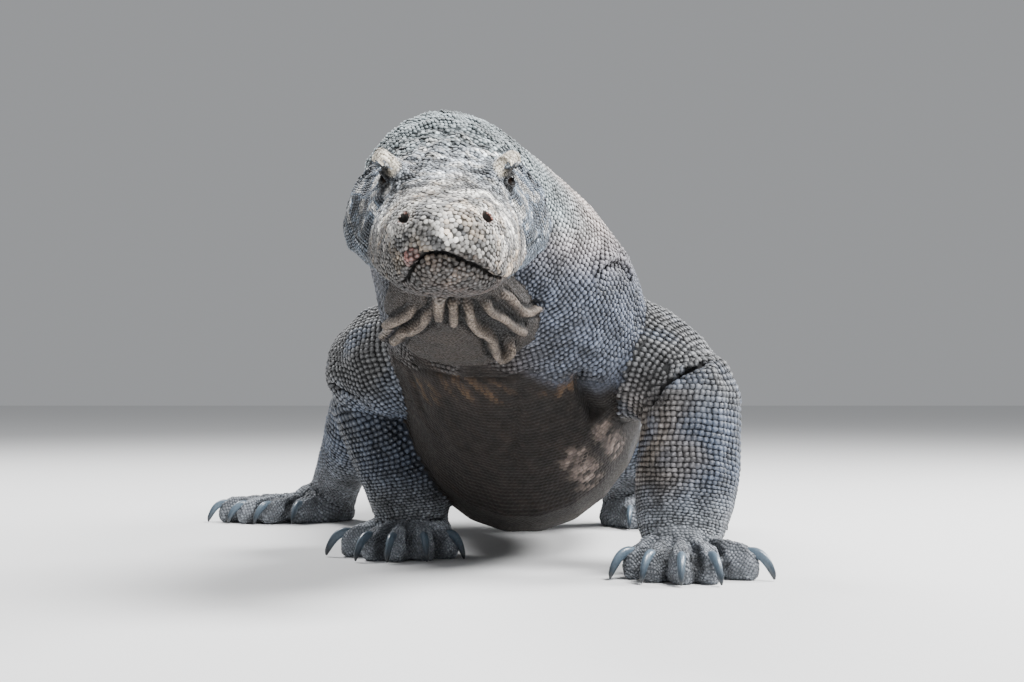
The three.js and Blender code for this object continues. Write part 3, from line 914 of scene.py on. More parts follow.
def eye_paint():
    """A dark brown iris round a black pupil, under a wet cornea."""
    p = Paint("eyeball")
    gaze = p.attribute("gaze", "Fac")
    grain = p.noise(1500, 3)
    iris = p.mix("MIX", gaze.between(0.3, 0.42), colour("020202"), colour("140d08"))
    iris = p.mix("MULTIPLY", 1.0, iris, p.grey(0.5 + grain))
    base = p.mix("MIX", gaze.between(0.62, 0.8), iris, colour("0b0807"))
    return p.finish(Base_Color=base, Roughness=0.1, Specular_IOR_Level=0.06)


HIDE = skin_paint()
SCALES = scale_paint()
HORN = claw_paint()
EYEBALL = eye_paint()


# ---------------------------------------------------------------------------------------------------------------
# Eyes and claws
# ---------------------------------------------------------------------------------------------------------------
def ride(thing, nodes=()):
    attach(thing, "root")
    if nodes:
        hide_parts(*nodes)


def make_eye(name, hand):
    """An eyeball with a bulging cornea. Each point carries its angle from the line of sight."""
    centre = eye_centre(hand)
    look = eye_look(hand)
    ball = bmesh.new()
    bmesh.ops.create_icosphere(ball, subdivisions=5, radius=1.0)
    mesh = bpy.data.meshes.new(name)
    ball.to_mesh(mesh)
    ball.free()
    way = unit(places_of(mesh))
    angle = np.arccos(np.clip(way @ look, -1, 1))
    radius = EYE["radius"] - 0.35 + 0.9 * bell(angle, 0.55)
    set_places(mesh, centre + way * (radius * MM)[:, None])
    set_attribute(mesh, "gaze", "FLOAT", angle)
    smooth(mesh)
    mesh.materials.append(EYEBALL)
    ride(add_object(name + "_ball", mesh), [name])


make_eye("eye_left", 1)
make_eye("eye_right", -1)


# Places along a claw, from its root to its tip: how far out, its height, and half its thickness.
CLAW = [(0, 23, 4.6), (9, 27.5, 5.2), (18, 28, 5.1), (26, 23.5, 4.8), (32, 16, 4.1), (36.5, 7.5, 2.9),
        (38, 2, 1.1)]
CLAW_SIDES = 16


def make_claw(leg, digit):
    """A claw swept along its bend. Each point carries how far along the claw it lies."""
    root, tip = claw_ends(leg, digit)
    flat = (tip - root) * (1, 1, 0)
    size = 1.0 if leg.startswith("front") else 0.92
    shape = spline(CLAW, 2.2)
    ahead = unit(flat)
    inset = root + ahead * (TOE_LONGER - 9)
    flat = (tip - inset) * (1, 1, 0)
    line = inset * (1, 1, 0) + flat / CLAW[-1][0] * shape[:, :1] + np.outer(shape[:, 1], (0, 0, 1))
    half = shape[:, 2] * size
    tangent = unit(np.gradient(line, axis=0))
    side = unit(np.cross(tangent, (0, 0, 1)))
    over = np.cross(side, tangent)
    angles = np.arange(CLAW_SIDES) / CLAW_SIDES * 2 * math.pi
    across = 0.88 * np.cos(angles)[None, :, None] * side[:, None]
    upward = 1.08 * np.sin(angles)[None, :, None] * over[:, None]
    rings = line[:, None] + half[:, None, None] * (across + upward)
    rings[:, :, 2] = np.maximum(rings[:, :, 2], 0.3)
    count = len(line)
    points = np.vstack([rings.reshape(-1, 3), line[:1], line[-1:] + tangent[-1:] * 0.5])
    index = np.arange(count * CLAW_SIDES).reshape(count, CLAW_SIDES)
    onward = np.roll(index, -1, axis=1)
    faces = np.stack([index[:-1], onward[:-1], onward[1:], index[1:]], axis=-1).reshape(-1, 4).tolist()
    faces += [(count * CLAW_SIDES, b, a) for a, b in zip(index[0].tolist(), onward[0].tolist())]
    faces += [(count * CLAW_SIDES + 1, a, b) for a, b in zip(index[-1].tolist(), onward[-1].tolist())]
    mesh = bpy.data.meshes.new(f"horn_{leg}_{digit}")
    mesh.from_pydata(spots(points).tolist(), [], faces)
    outward_facing(mesh)
    along = np.append(np.repeat(np.linspace(0, 1, count), CLAW_SIDES), (0, 1))
    set_attribute(mesh, "along", "FLOAT", along)
    smooth(mesh)
    mesh.materials.append(HORN)
    ride(add_object(mesh.name, mesh), [f"claw_{leg}_{digit}"])


for leg in LEGS:
    for digit in DIGITS:
        make_claw(leg, digit)


# ---------------------------------------------------------------------------------------------------------------
# Where the scales grow
# ---------------------------------------------------------------------------------------------------------------
# Rows run round the neck, trunk, tail and limbs. Each entry gives a distance along the middle line, then how
# long and how wide a scale is there.
SPINE_ROWS = [(0, 3.8, 3.8), (70, 4.4, 4.3), (150, 5.4, 5.2), (300, 6.2, 6.0), (500, 8.4, 8.4),
              (1100, 9.6, 9.4), (1500, 9.4, 8.6), (2000, 8.2, 7.2), (2400, 6.4, 5.6), (2700, 5.0, 4.4)]
UNDER_ROWS = [(0, 4.0, 4.0), (200, 4.0, 4.8), (600, 5.2, 6.4), (1100, 7.0, 8.5), (2700, 6.0, 7.0)]
UPPER_ROWS = {"front_left": [(0, 5.2, 5.4), (80, 5.7, 5.9), (170, 6.4, 6.4)],
              "front_right": [(0, 5.2, 5.4), (80, 5.7, 5.9), (170, 6.6, 6.6)],
              "hind_left": [(0, 8.2, 8.0), (230, 9.0, 8.8)],
              "hind_right": [(0, 8.2, 8.0), (230, 9.0, 8.8)]}
LOWER_ROWS = [(0, 6.6, 6.4), (90, 6.6, 6.6), (125, 5.6, 6.8), (150, 4.2, 6.4), (175, 3.4, 5.8),
              (230, 3.2, 5.4)]
FOOT_ROWS = {"front": [(0, 3.0, 5.0), (60, 2.9, 4.4), (90, 2.6, 3.4)],
             "hind": [(0, 3.8, 6.0), (60, 3.8, 5.4), (110, 3.6, 4.4)]}
CHEEK_ROWS = [(0, 1.9, 1.9), (20, 2.4, 2.3), (60, 3.0, 2.9), (90, 3.4, 3.3)]
# How far apart scattered scales stand.
PITCH = {"trunk": 7.0, "neck": 5.2, "throat": 3.25, "tail": 6.5, "tail_end": 4.6, "leg": 6.5, "head": 3.7,
         "front_foot": 3.1, "hind_foot": 4.2}
# How far behind the snout the hind feet begin.
HIND_FEET = 800
# How far the scales stand out from the skin.
RELIEF = {"head": 1.0, "throat": 0.45, "neck": 1.9, "trunk": 2.2, "tail": 2.0, "leg": 2.3, "foot": 0.7}
SEED = 7

random = np.random.default_rng(SEED)


def underside(co, level, zone):
    """How far each place is part of the chest and belly, from 0 to 1. level is how far up the hide faces."""
    x, y, z = station(co).T
    turned = np.interp(y, (400, 480, 640), (0.8, 0.15, -0.3))
    high = np.interp(y, (420, 560, 700), (222, 232, 420)) - 0.16 * np.clip(x, 0, 100) + 11 * wobble(co, 45)
    part = np.isin(zone, ("neck", "trunk", "tail"))
    soft = np.interp(y, (560, 700), (0.14, 0.3))
    return part * smooth_step(soft, -soft, level - turned) * smooth_step(20, -20, z - high)


def zone_of(names):
    zones = np.full(len(names), "trunk", dtype="U8")
    for start, zone in (("head", "head"), ("lower_jaw", "head"), ("eye", "head"), ("throat", "throat"),
                        ("neck", "neck"), ("tail", "tail"), ("leg", "leg"), ("foot", "foot")):
        zones[np.char.startswith(names, start)] = zone
    return zones


class Form:
    """The sculpted body at full size, with what the scales need to know at each of its points."""

    def __init__(self, mesh):
        self.co = places_of(mesh)
        self.normal = normals_of(mesh)
        self.triangles = triangles_of(mesh)
        self.tree = BVHTree.FromPolygons(self.co.tolist(), self.triangles.tolist())
        self.near = Neighbours(mesh)
        self.names = owners_of(self.co)
        self.zone = zone_of(self.names)
        self.back = np.zeros_like(self.co)
        self.run = np.zeros(len(self.co))
        self.turn = np.zeros(len(self.co))
        relief = np.array([RELIEF[z] for z in RELIEF])[
            np.argmax(self.zone[:, None] == np.array(list(RELIEF))[None], axis=1)]
        high = station(self.co)[:, 2]
        leg = self.zone == "leg"
        relief[leg] = 1.0 + 1.3 * smooth_step(45, 110, high[leg])
        tail = self.names == "tail_end"
        relief[tail] = 1.0
        level = self.near.even_out(self.normal[:, 2], 20)
        self.chest = underside(self.co, level, self.zone)
        self.under = self.chest > 0.5
        relief[self.under] = 0.22
        brows = from_head(np.vstack([spline(line, 4) for line in both_sides(BROW)]))
        relief[near_any(self.co, brows, 11)] = 0.5
        self.relief = self.near.even_out(relief, 8)

    def corners_at(self, places):
        """The three points of the face nearest to each place."""
        return self.triangles[[self.tree.find_nearest(p)[2] for p in places.tolist()]]

    def gradient(self, value, triangles):
        a, b, c = (self.co[triangles[:, i]] for i in range(3))
        cross = np.cross(b - a, c - a)
        double = np.linalg.norm(cross, axis=1, keepdims=True) + 1e-12
        fa, fb, fc = (value[triangles[:, i], None] for i in range(3))
        slope = np.cross(cross / double, fa * (c - b) + fb * (a - c) + fc * (b - a)) / double
        total = np.zeros_like(self.co)
        weight = np.zeros(len(self.co))
        for corner in range(3):
            index = triangles[:, corner]
            for axis in range(3):
                total[:, axis] += np.bincount(index, (slope * double)[:, axis], len(self.co))
            weight += np.bincount(index, double[:, 0], len(self.co))
        return total / np.maximum(weight, 1e-12)[:, None]


def loops_of(pairs, count):
    """Lines of linked points, given as pairs of neighbours, and whether each closes on itself."""
    links = [[] for _ in range(count)]
    for a, b in pairs.tolist():
        links[a].append(b)
        links[b].append(a)
    used = bytearray(count)
    ends = [i for i in range(count) if len(links[i]) == 1]
    for start in ends + list(range(count)):
        if used[start]:
            continue
        line = [start]
        used[start] = 1
        while True:
            onward = next((n for n in links[line[-1]] if not used[n]), None)
            if onward is None:
                break
            line.append(onward)
            used[onward] = 1
        yield line, len(line) > 2 and start in links[line[-1]]


def lay_course(form, nodes, middle):
    """Notes at each point of the given nodes how far along their middle line it lies, which way that line
    runs over the surface there, and how far round the line."""
    line = spline(middle, 3)
    travelled = np.concatenate([[0], np.cumsum(np.linalg.norm(np.diff(line, axis=0), axis=1))])
    tree = point_tree(line)
    mine = np.isin(form.names, nodes)
    index = np.flatnonzero(mine)
    nearest = np.array([tree.find(p)[1] for p in station(form.co[index]).tolist()])
    run = np.zeros(len(form.co))
    run[index] = travelled[nearest]
    reach = form.near.mean(mine.astype(float)) > 0.999
    for _ in range(24):
        run = np.where(mine & reach, run + 0.6 * (form.near.mean(run) - run), run)
    run[index] += 1.6 * wobble(form.co[index], 75)
    tangent = unit(np.gradient(line, axis=0))[nearest]
    outward = station(form.co[index]) - line[nearest]
    side = unit(np.cross(tangent, (0, 0, 1)))
    form.turn[index] = np.arctan2(np.einsum("ij,ij->i", outward, side),
                                  np.einsum("ij,ij->i", outward, np.cross(side, tangent)))
    form.run[index] = run[index]
    form.back[index] = form.gradient(run, form.triangles[mine[form.triangles].all(1)])[index]


def lay_rings(form, mine, middle):
    """The same for rows that run round a point."""
    index = np.flatnonzero(mine)
    away = station(form.co[index]) - middle
    form.run[index] = np.linalg.norm(away, axis=1) + 0.8 * wobble(form.co[index], 40)
    form.turn[index] = np.arctan2(away[:, 1], away[:, 0])
    form.back[index] = form.gradient(form.run, form.triangles[mine[form.triangles].all(1)])[index]


def rows_over(form, mine, spacing):
    """Scale sites in rows round the middle line, over the surface of the marked points. Gives their places,
    normals, backward directions, lengths and widths."""
    run = form.run
    slope = form.back
    index = np.flatnonzero(mine)
    triangles = form.triangles[mine[form.triangles].all(1)]
    low = run[triangles].min(1)
    high = run[triangles].max(1)
    stops = np.array(spacing, float)
    level = run[index].min() + 2
    row = 0
    sites = []
    while level < run[index].max():
        long = np.interp(level, stops[:, 0], stops[:, 1])
        wide = np.interp(level, stops[:, 0], stops[:, 2])
        crossing = triangles[(low < level) & (high >= level)]
        below = run[crossing] < level
        ahead = np.roll(crossing, -1, axis=1)
        cut = below != np.roll(below, -1, axis=1)
        keys = np.minimum(crossing, ahead).astype(np.int64) * len(form.co) + np.maximum(crossing, ahead)
        found, pairs = np.unique(keys[cut], return_inverse=True)
        a, b = found // len(form.co), found % len(form.co)
        share = ((level - run[a]) / (run[b] - run[a]))[:, None]
        data = np.hstack([of[a] * (1 - share) + of[b] * share for of in (form.co, form.normal, slope)])
        for points, closed in loops_of(pairs.reshape(-1, 2), len(found)):
            sites.append(spaced(data[points], closed, wide, long, row))
        level += long
        row += 1
    return np.vstack([s for s in sites if len(s)])


def spaced(data, closed, wide, long, row):
    """Sites at even steps along one row, every second row shifted by half a step."""
    if closed:
        data = np.roll(data, -int(data[:, 2].argmin()), axis=0)
        data = np.vstack([data, data[:1]])
    length = np.concatenate([[0], np.cumsum(np.linalg.norm(np.diff(data[:, :3], axis=0), axis=1))]) / MM
    if length[-1] < 0.7 * wide:
        return np.empty((0, 11))
    count = max(1, int(round(length[-1] / wide)))
    step = length[-1] / count
    shift = 0.5 * (row % 2) if closed else 0.25 + 0.5 * (row % 2)
    at = (np.arange(count) + shift + 0.05 * random.normal(size=count)) * step
    out = np.column_stack([np.interp(at, length, data[:, i]) for i in range(9)])
    steep = np.linalg.norm(out[:, 6:9], axis=1) * MM
    reach = np.clip(long / np.maximum(steep, 0.2), 0.75 * long, 1.45 * long)
    return np.column_stack([out, reach, np.full(count, step)])


def fill(form, sites, pitch, crowd=10):
    """Adds scattered sites wherever the rows leave room, at the spacing that pitch gives at each point."""
    a, b, c = (form.co[form.triangles[:, i]] for i in range(3))
    area = np.linalg.norm(np.cross(b - a, c - a), axis=1) / 2 / MM**2
    size = pitch[form.triangles].mean(1)
    share = area / size**2
    count = int(crowd * share.sum())
    chosen = random.choice(len(share), count, p=share / share.sum())
    u, v = random.random((2, count))
    flip = u + v > 1
    u, v = np.where(flip, 1 - u, u)[:, None], np.where(flip, 1 - v, v)[:, None]
    place = a[chosen] + (b - a)[chosen] * u + (c - a)[chosen] * v
    size = size[chosen]
    rows = point_tree(sites[:, :3])
    found = [rows.find(p)[1:] for p in place.tolist()]
    nearest = np.array([f[0] for f in found])
    gap = np.array([f[1] for f in found]) / MM
    space = 2 * (gap - 0.42 * sites[nearest, 9:11].mean(1))
    free = space > 0.66 * size
    place, size = place[free], np.minimum(size, space)[free]
    tree = point_tree(place)
    blocked = bytearray(len(place))
    taken = []
    for i, (p, s) in enumerate(zip(place.tolist(), size.tolist())):
        if not blocked[i]:
            taken.append(i)
            for _, j, _ in tree.find_range(p, 0.72 * s * MM):
                blocked[j] = 1
    place, size = place[taken], size[taken]
    for _ in range(3):
        place = spread(form, place, size)
    corners = form.corners_at(place)
    normal = unit(form.normal[corners].mean(1))
    back = form.back[corners].mean(1)
    return np.column_stack([place, normal, back, size, size])


def spread(form, place, size):
    """Pushes crowded sites a little apart along the surface."""
    tree = point_tree(place)
    near = np.array([[f[1] for f in tree.find_n(p, 7)] for p in place.tolist()])[:, 1:]
    away = place[:, None] - place[near]
    gap = np.linalg.norm(away, axis=2) / MM + 1e-6
    wanted = 0.5 * (size[:, None] + size[near])
    push = (away / gap[:, :, None] * (np.maximum(0, wanted - gap) * 0.3)[:, :, None]).sum(1)
    moved = place + np.clip(push, -1.5 * MM, 1.5 * MM)
    return np.array([form.tree.find_nearest(p)[0] for p in moved.tolist()])


def thinned(groups):
    """Joins groups of row sites, leaving out those of a later group that crowd an earlier one."""
    kept = groups[0]
    for group in groups[1:]:
        tree = point_tree(kept[:, :3])
        found = [tree.find(p)[1:] for p in group[:, :3].tolist()]
        nearest = np.array([f[0] for f in found])
        gap = np.array([f[1] for f in found]) / MM
        room = 0.36 * (group[:, 9:11].mean(1) + kept[nearest, 9:11].mean(1))
        kept = np.vstack([kept, group[gap > room]])
    return kept


def pitch_of(form):
    """How far apart scattered scales stand at each point of the body."""
    head = to_head(form.co)
    body = station(form.co)
    pitch = np.full(len(form.co), PITCH["trunk"])
    for zone in ("neck", "throat", "tail", "leg"):
        pitch[form.zone == zone] = PITCH[zone]
    pitch[form.names == "tail_end"] = PITCH["tail_end"]
    foot = (form.zone == "foot") | ((form.zone == "leg") & (body[:, 2] < 40))
    pitch[foot] = np.where(body[foot, 1] < HIND_FEET, PITCH["front_foot"], PITCH["hind_foot"])
    on_head = form.zone == "head"
    side, back, high = head[on_head].T
    size = np.full(on_head.sum(), PITCH["head"])
    front = smooth_step(75, 15, back) * smooth_step(-45, -5, high)
    size = size + 1.0 * front * smooth_step(48, 20, np.abs(side))
    size = size + 0.5 * smooth_step(-12, -40, high) * smooth_step(90, 30, back)
    size = size + 1.1 * smooth_step(115, 150, back) * smooth_step(25, 45, high)
    cheek = smooth_step(95, 140, back) * smooth_step(45, 60, np.abs(side)) * smooth_step(45, 25, high)
    size = size - 0.6 * cheek
    pitch[on_head] = size
    for hand in (1, -1):
        reach = np.linalg.norm(head - sided(EYE["at"], hand), axis=1)
        pitch = np.where(on_head, np.minimum(pitch, 2.0 + 0.12 * np.maximum(reach - 14, 0)), pitch)
    for hole in NOSTRILS:
        reach = np.linalg.norm(head - hole, axis=1)
        pitch = np.where(on_head, np.minimum(pitch, 2.4 + 0.2 * np.maximum(reach - 7, 0)), pitch)
    return form.near.even_out(pitch, 5)


# ---------------------------------------------------------------------------------------------------------------
# Colours
# ---------------------------------------------------------------------------------------------------------------
# Some colours stand in for light: socket is painted shade round the eyes, cleft painted shade in folds, grooves
# and openings, belly a dark brown made darker as painted shade on the underside, chin partly painted shade under
# the jaw, pale both pale patches and painted highlights on the belly's edge, and nape a pale hide made paler as
# painted light on the neck's top.
COLOURS = {name: linear(code) for name, code in {
    "brow": "fdf3e0", "snout": "cbc7c0", "crust": "f2efe8", "forehead": "c3cbd4", "crown": "b0bcc0",
    "cheek": "73808f", "lip": "6f6862", "jaw": "40362e", "chin": "24170f", "lump": "7c5048", "nose": "8a4f3c",
    "socket": "0b0c10", "soot": "2c2f35", "ochre": "c2a785", "collar": "3a3029",
    "nape": "cdbfb8", "neck": "646c7d", "shoulder": "6c6d6f", "forearm": "545f72", "sandy": "85796b",
    "back": "65676a", "tail": "56585a", "belly": "160e08", "flank": "38332e", "rust": "4a3724",
    "pale": "8b7b72",
    "throat": "281e16", "ribbon": "7d7064", "shaded_cleft": "0e0b09", "foot": "868b92",
}.items()}
# The middle of the pale crust on the snout.
SNOUT_CRUST = (-4, 67, 45)
# Rusty spots at the top of the chest, each with its reach.
RUST_SPOTS = [((-50, 380, 205), 24), ((-15, 378, 200), 20), ((52, 382, 204), 24), ((-92, 420, 195), 20)]


class Hide:
    """The hide's colours as they are laid over one another, and what they go by at each place."""

    def __init__(self, co, normal, names, marks):
        self.co = co
        self.level = normal[:, 2]
        self.names = names
        self.marks = marks
        self.zone = zone_of(names)
        self.body = station(co)
        self.head = to_head(co)
        self.face = self.is_zone("head")
        self.under = underside(co, self.level, self.zone)
        self.tint = np.tile(COLOURS["back"], (len(co), 1))

    def is_zone(self, zone):
        return (self.zone == zone).astype(float)

    def from_place(self, place):
        """How far each place is from one in the head."""
        return np.linalg.norm(self.head - np.array(place), axis=1)

    def wash(self, name, amount):
        self.tint = self.tint + np.clip(amount, 0, 1)[:, None] * (COLOURS[name] - self.tint)

    def brighten(self, share):
        self.tint = self.tint * share[:, None]


def colour_neck_and_tail(hide):
    x, y, z = hide.body.T
    neck = hide.is_zone("neck")
    hide.wash("tail", hide.is_zone("tail"))
    hide.wash("neck", neck + hide.is_zone("trunk") * smooth_step(700, 520, y))
    # Pale pinkish hide on the nape, made paler as painted light on the neck's top.
    hide.wash("nape", neck * smooth_step(290, 385, z) * smooth_step(205, 270, y) * smooth_step(540, 300, y))
    # Painted shadow on the lower right side of the neck, under the jaw.
    hide.brighten(1 - 0.6 * neck * smooth_step(-55, -105, x) * smooth_step(345, 300, z))
    hide.wash("crown", neck * smooth_step(330, 250, y) * smooth_step(330, 370, z))


def colour_legs(hide):
    x, y, z = hide.body.T
    limb = hide.is_zone("leg")
    for leg in LEGS:
        start = np.array(LIMBS[leg][0][0])
        reach = np.linalg.norm(hide.body - start, axis=1)
        joined = smooth_step(30, 120, reach) if leg.startswith("hind") else 1
        hide.wash("shoulder", np.char.startswith(hide.names, f"leg_{leg}") * joined)
    hide.wash("forearm", limb * smooth_step(215, 150, z))
    inner = limb * smooth_step(212, 140, x + 12 * wobble(hide.co, 40)) * (y < 700) * (x > 0)
    hide.wash("sandy", 0.8 * inner * smooth_step(225, 150, z) * smooth_step(40, 120, z))
    hide.wash("forearm", 0.6 * limb * smooth_step(0.2, 1, wobble(hide.co, 55)))
    hide.wash("foot", hide.is_zone("foot") + limb * smooth_step(110, 50, z))


def colour_underside(hide):
    x, y, z = hide.body.T
    hide.wash("collar", 0.9 * hide.is_zone("neck") * smooth_step(262, 228, z) * smooth_step(60, -10, x))
    # Dark brown underside, made darker still as painted shade under the body.
    hide.wash("belly", hide.under)
    hide.wash("flank", hide.under * smooth_step(560, 700, y))
    blotch = smooth_step(-0.3, 0.6, wobble(hide.co, 14))
    for place, reach in RUST_SPOTS:
        near = smooth_step(1.4, 0.6, np.linalg.norm(hide.body - place, axis=1) / reach)
        hide.wash("rust", hide.under * 0.8 * blotch * near)
    # Pale patches on the belly's edge, which are also painted highlights.
    hide.wash("pale", hide.under * hide.marks["pale"] * smooth_step(-1.2, 0.8, wobble(hide.co, 15)))
    hide.wash("throat", hide.is_zone("throat"))


def colour_face(hide):
    """Gives how much each place is chin."""
    co, face = hide.co, hide.face
    side, back, high = hide.head.T
    hide.wash("forehead", face)
    hide.wash("snout", face * smooth_step(95, 55, back) * 0.9)
    hide.wash("crust", face * 0.75 * smooth_step(24, 8, hide.from_place(SNOUT_CRUST)))
    hide.wash("lip", face * smooth_step(14, -14, high) * 0.85)
    hide.wash("crown", face * smooth_step(125, 165, back))
    hide.wash("cheek", face * smooth_step(96, 116, back) * smooth_step(46, 60, np.abs(side)))
    dapple = wobble(co, 21) + 0.8 * wobble(co[:, ::-1], 12)
    upper = face * smooth_step(-30, 5, high)
    stain = wobble(co[:, ::-1] + 0.3, 26) + 0.6 * wobble(co, 9)
    hide.wash("ochre", face * 0.55 * smooth_step(0.1, 1.2, stain) * smooth_step(110, 70, back))
    hide.wash("soot", upper * 0.8 * smooth_step(0.1, 1.0, dapple))
    crust = upper * 0.7 * smooth_step(0.3, 1.1, -dapple) * smooth_step(185, 150, back)
    hide.wash("crust", crust * (0.35 + 0.65 * smooth_step(20, 60, back)))
    hide.brighten(1 - 0.16 * face * smooth_step(14, 0, high) * smooth_step(60, 20, back))
    hide.wash("jaw", (hide.names == "lower_jaw") * smooth_step(105, 80, back))
    # The chin's dark brown, partly painted shade under the jaw.
    chin = face * smooth_step(-22, -38, high) * smooth_step(105, 80, back)
    hide.wash("chin", chin)
    return chin


def mottle_and_paint_shading(hide):
    """Mottling all over, painted shade on one side of the head and on one leg, and brighter feet, one of them
    with painted light.
    """
    co, face = hide.co, hide.face
    _, y, z = hide.body.T
    side, _, high = hide.head.T
    mottle = wobble(co, 31) + 0.8 * wobble(co[:, ::-1], 17)
    rough = 0.3 * face + 0.12 * (1 - face)
    uneven = rough * np.where(face > 0, mottle, wobble(co, 60)) + 0.25 * hide.under * wobble(co, 16)
    hide.brighten(np.exp(uneven))
    # Painted shade on the lower part of the head's right side.
    hide.brighten(1 - 0.62 * face * smooth_step(-5, -45, side) * smooth_step(24, -16, high))
    # Painted light on the right front foot. The hind feet are a little brighter.
    foot = hide.is_zone("foot")
    right = np.char.endswith(hide.names, "front_right")
    hide.brighten(1 + 0.6 * right * foot + 0.15 * foot * (y > HIND_FEET))
    # Painted shadow on the right forearm, above the foot.
    right = hide.names == "leg_front_right_lower"
    hide.brighten(1 - 0.35 * right * smooth_step(30, 80, z))


def colour_brows_and_eyes(hide, chin):
    """Paints the brows and the painted shade round the eyes. Gives how much each place is brow, and how much it
    is dull skin round an eye or on the chin.
    """
    face = hide.face
    brow = np.zeros(len(face))
    dull = 0.5 * chin
    for hand, line in zip((1, -1), both_sides(BROW)):
        gap = gap_to(hide.head, spline(line, 6))
        on_brow = face * smooth_step(12.5, 7.5, gap) * (hide.level > -0.4)
        brow = np.maximum(brow, on_brow)
        hide.wash("brow", on_brow)
        lids = sided(EYE["at"], hand) + unit(sided(EYE["look"], hand)) * EYE["radius"]
        hollow = gap_to(hide.head, spline(sided(UNDER_EYE, hand), 5))
        round_eye = smooth_step(17, 10.5, hide.from_place(lids))
        dull = np.maximum(dull, face * round_eye)
        # Painted shade in the hollow under the brow and eye, and round the eye's opening.
        hide.wash("socket", face * 0.75 * smooth_step(8, 3, hollow))
        hide.wash("socket", face * 0.95 * round_eye)
    return brow, dull


def colour_nose_and_lip(hide):
    for place in NOSTRILS:
        gap = hide.from_place(place)
        hide.wash("crust", hide.face * 0.6 * smooth_step(13, 8, gap))
        hide.wash("nose", hide.face * smooth_step(6.4, 4.8, gap))
    hide.wash("lump", hide.face * smooth_step(10, 6, hide.from_place(LIP_LUMP)))


def tint_of(co, normal, names, marks):
    """The hide's colour at each place, with painted shade and highlights, before wear and dirt, and how deep the
    gaps between scales are there, which sets how strong their painted shade and the crowns' painted highlight
    are."""
    hide = Hide(co, normal, names, marks)
    colour_neck_and_tail(hide)
    colour_legs(hide)
    colour_underside(hide)
    chin = colour_face(hide)
    mottle_and_paint_shading(hide)
    brow, dull = colour_brows_and_eyes(hide, chin)
    colour_nose_and_lip(hide)
    hide.wash("ribbon", marks["ribbon"])
    # The cleft colour is painted shade in folds, grooves and openings.
    hide.wash("shaded_cleft", marks["shaded_cleft"])
    depth = 1 - 0.8 * hide.under - 0.5 * hide.is_zone("throat") - 0.5 * hide.is_zone("foot")
    return hide.tint, depth - 0.6 * brow - 0.85 * dull


# ---------------------------------------------------------------------------------------------------------------
# Scales
# ---------------------------------------------------------------------------------------------------------------
# Each scale's number of sides, how square it is, half the angle that each cut corner spans, its rings from
# the root up (radius, height, lean) and its top (height, lean).
SHAPES = {
    "pebble": (8, 2.2, 22, [(0.46, -0.3, 0), (0.5, 0.3, 0), (0.37, 0.8, 0.02)], (1.0, 0.03)),
    "plate": (8, 3.0, 18, [(0.48, -0.3, 0), (0.48, 0.5, 0.01)], (1.0, 0.04)),
    "bead": (8, 2.2, 22, [(0.46, -0.3, 0), (0.45, 0.55, 0)], (1.0, 0.0)),
    "granule": (6, 2.0, 0, [(0.47, -0.3, 0), (0.45, 0.5, 0)], (1.0, 0.0)),
}
PATCH = 0.003


def scale_shape(kind):
    """One scale about 1 wide and 1 high, as a closed mesh."""
    sides, power, corner, rings, (top, lean) = SHAPES[kind]
    angles = np.arange(sides) / sides * 2 * math.pi + math.pi / sides
    if sides == 8:
        angles = np.repeat(np.arange(4) * 90 + 45, 2) + np.tile((-corner, corner), 4)
        angles = np.radians(angles)
    square = (np.abs(np.cos(angles)) ** power + np.abs(np.sin(angles)) ** power) ** (-1 / power)
    square = square * (1 + 0.05 * np.sin(3 * angles + 1) + 0.04 * np.sin(5 * angles))
    points = []
    for radius, height, shift in rings:
        for angle, out in zip(angles, square):
            points.append((radius * out * math.cos(angle), radius * out * math.sin(angle) + shift, height))
    points.append((0, lean, top))
    faces = [tuple(range(sides - 1, -1, -1))]
    for ring in range(len(rings) - 1):
        for i in range(sides):
            j = (i + 1) % sides
            faces.append((ring * sides + i, ring * sides + j, (ring + 1) * sides + j, (ring + 1) * sides + i))
    last = (len(rings) - 1) * sides
    faces += [(last + i, last + (i + 1) % sides, len(points) - 1) for i in range(sides)]
    mesh = bpy.data.meshes.new(kind)
    mesh.from_pydata(points, [], faces)
    points = np.array(points)
    set_attribute(mesh, "rise", "FLOAT", np.clip(points[:, 2], 0, 1))
    set_attribute(mesh, "spot", "FLOAT_VECTOR", points * (PATCH, PATCH, 0))
    smooth(mesh)
    return add_object(kind, mesh)


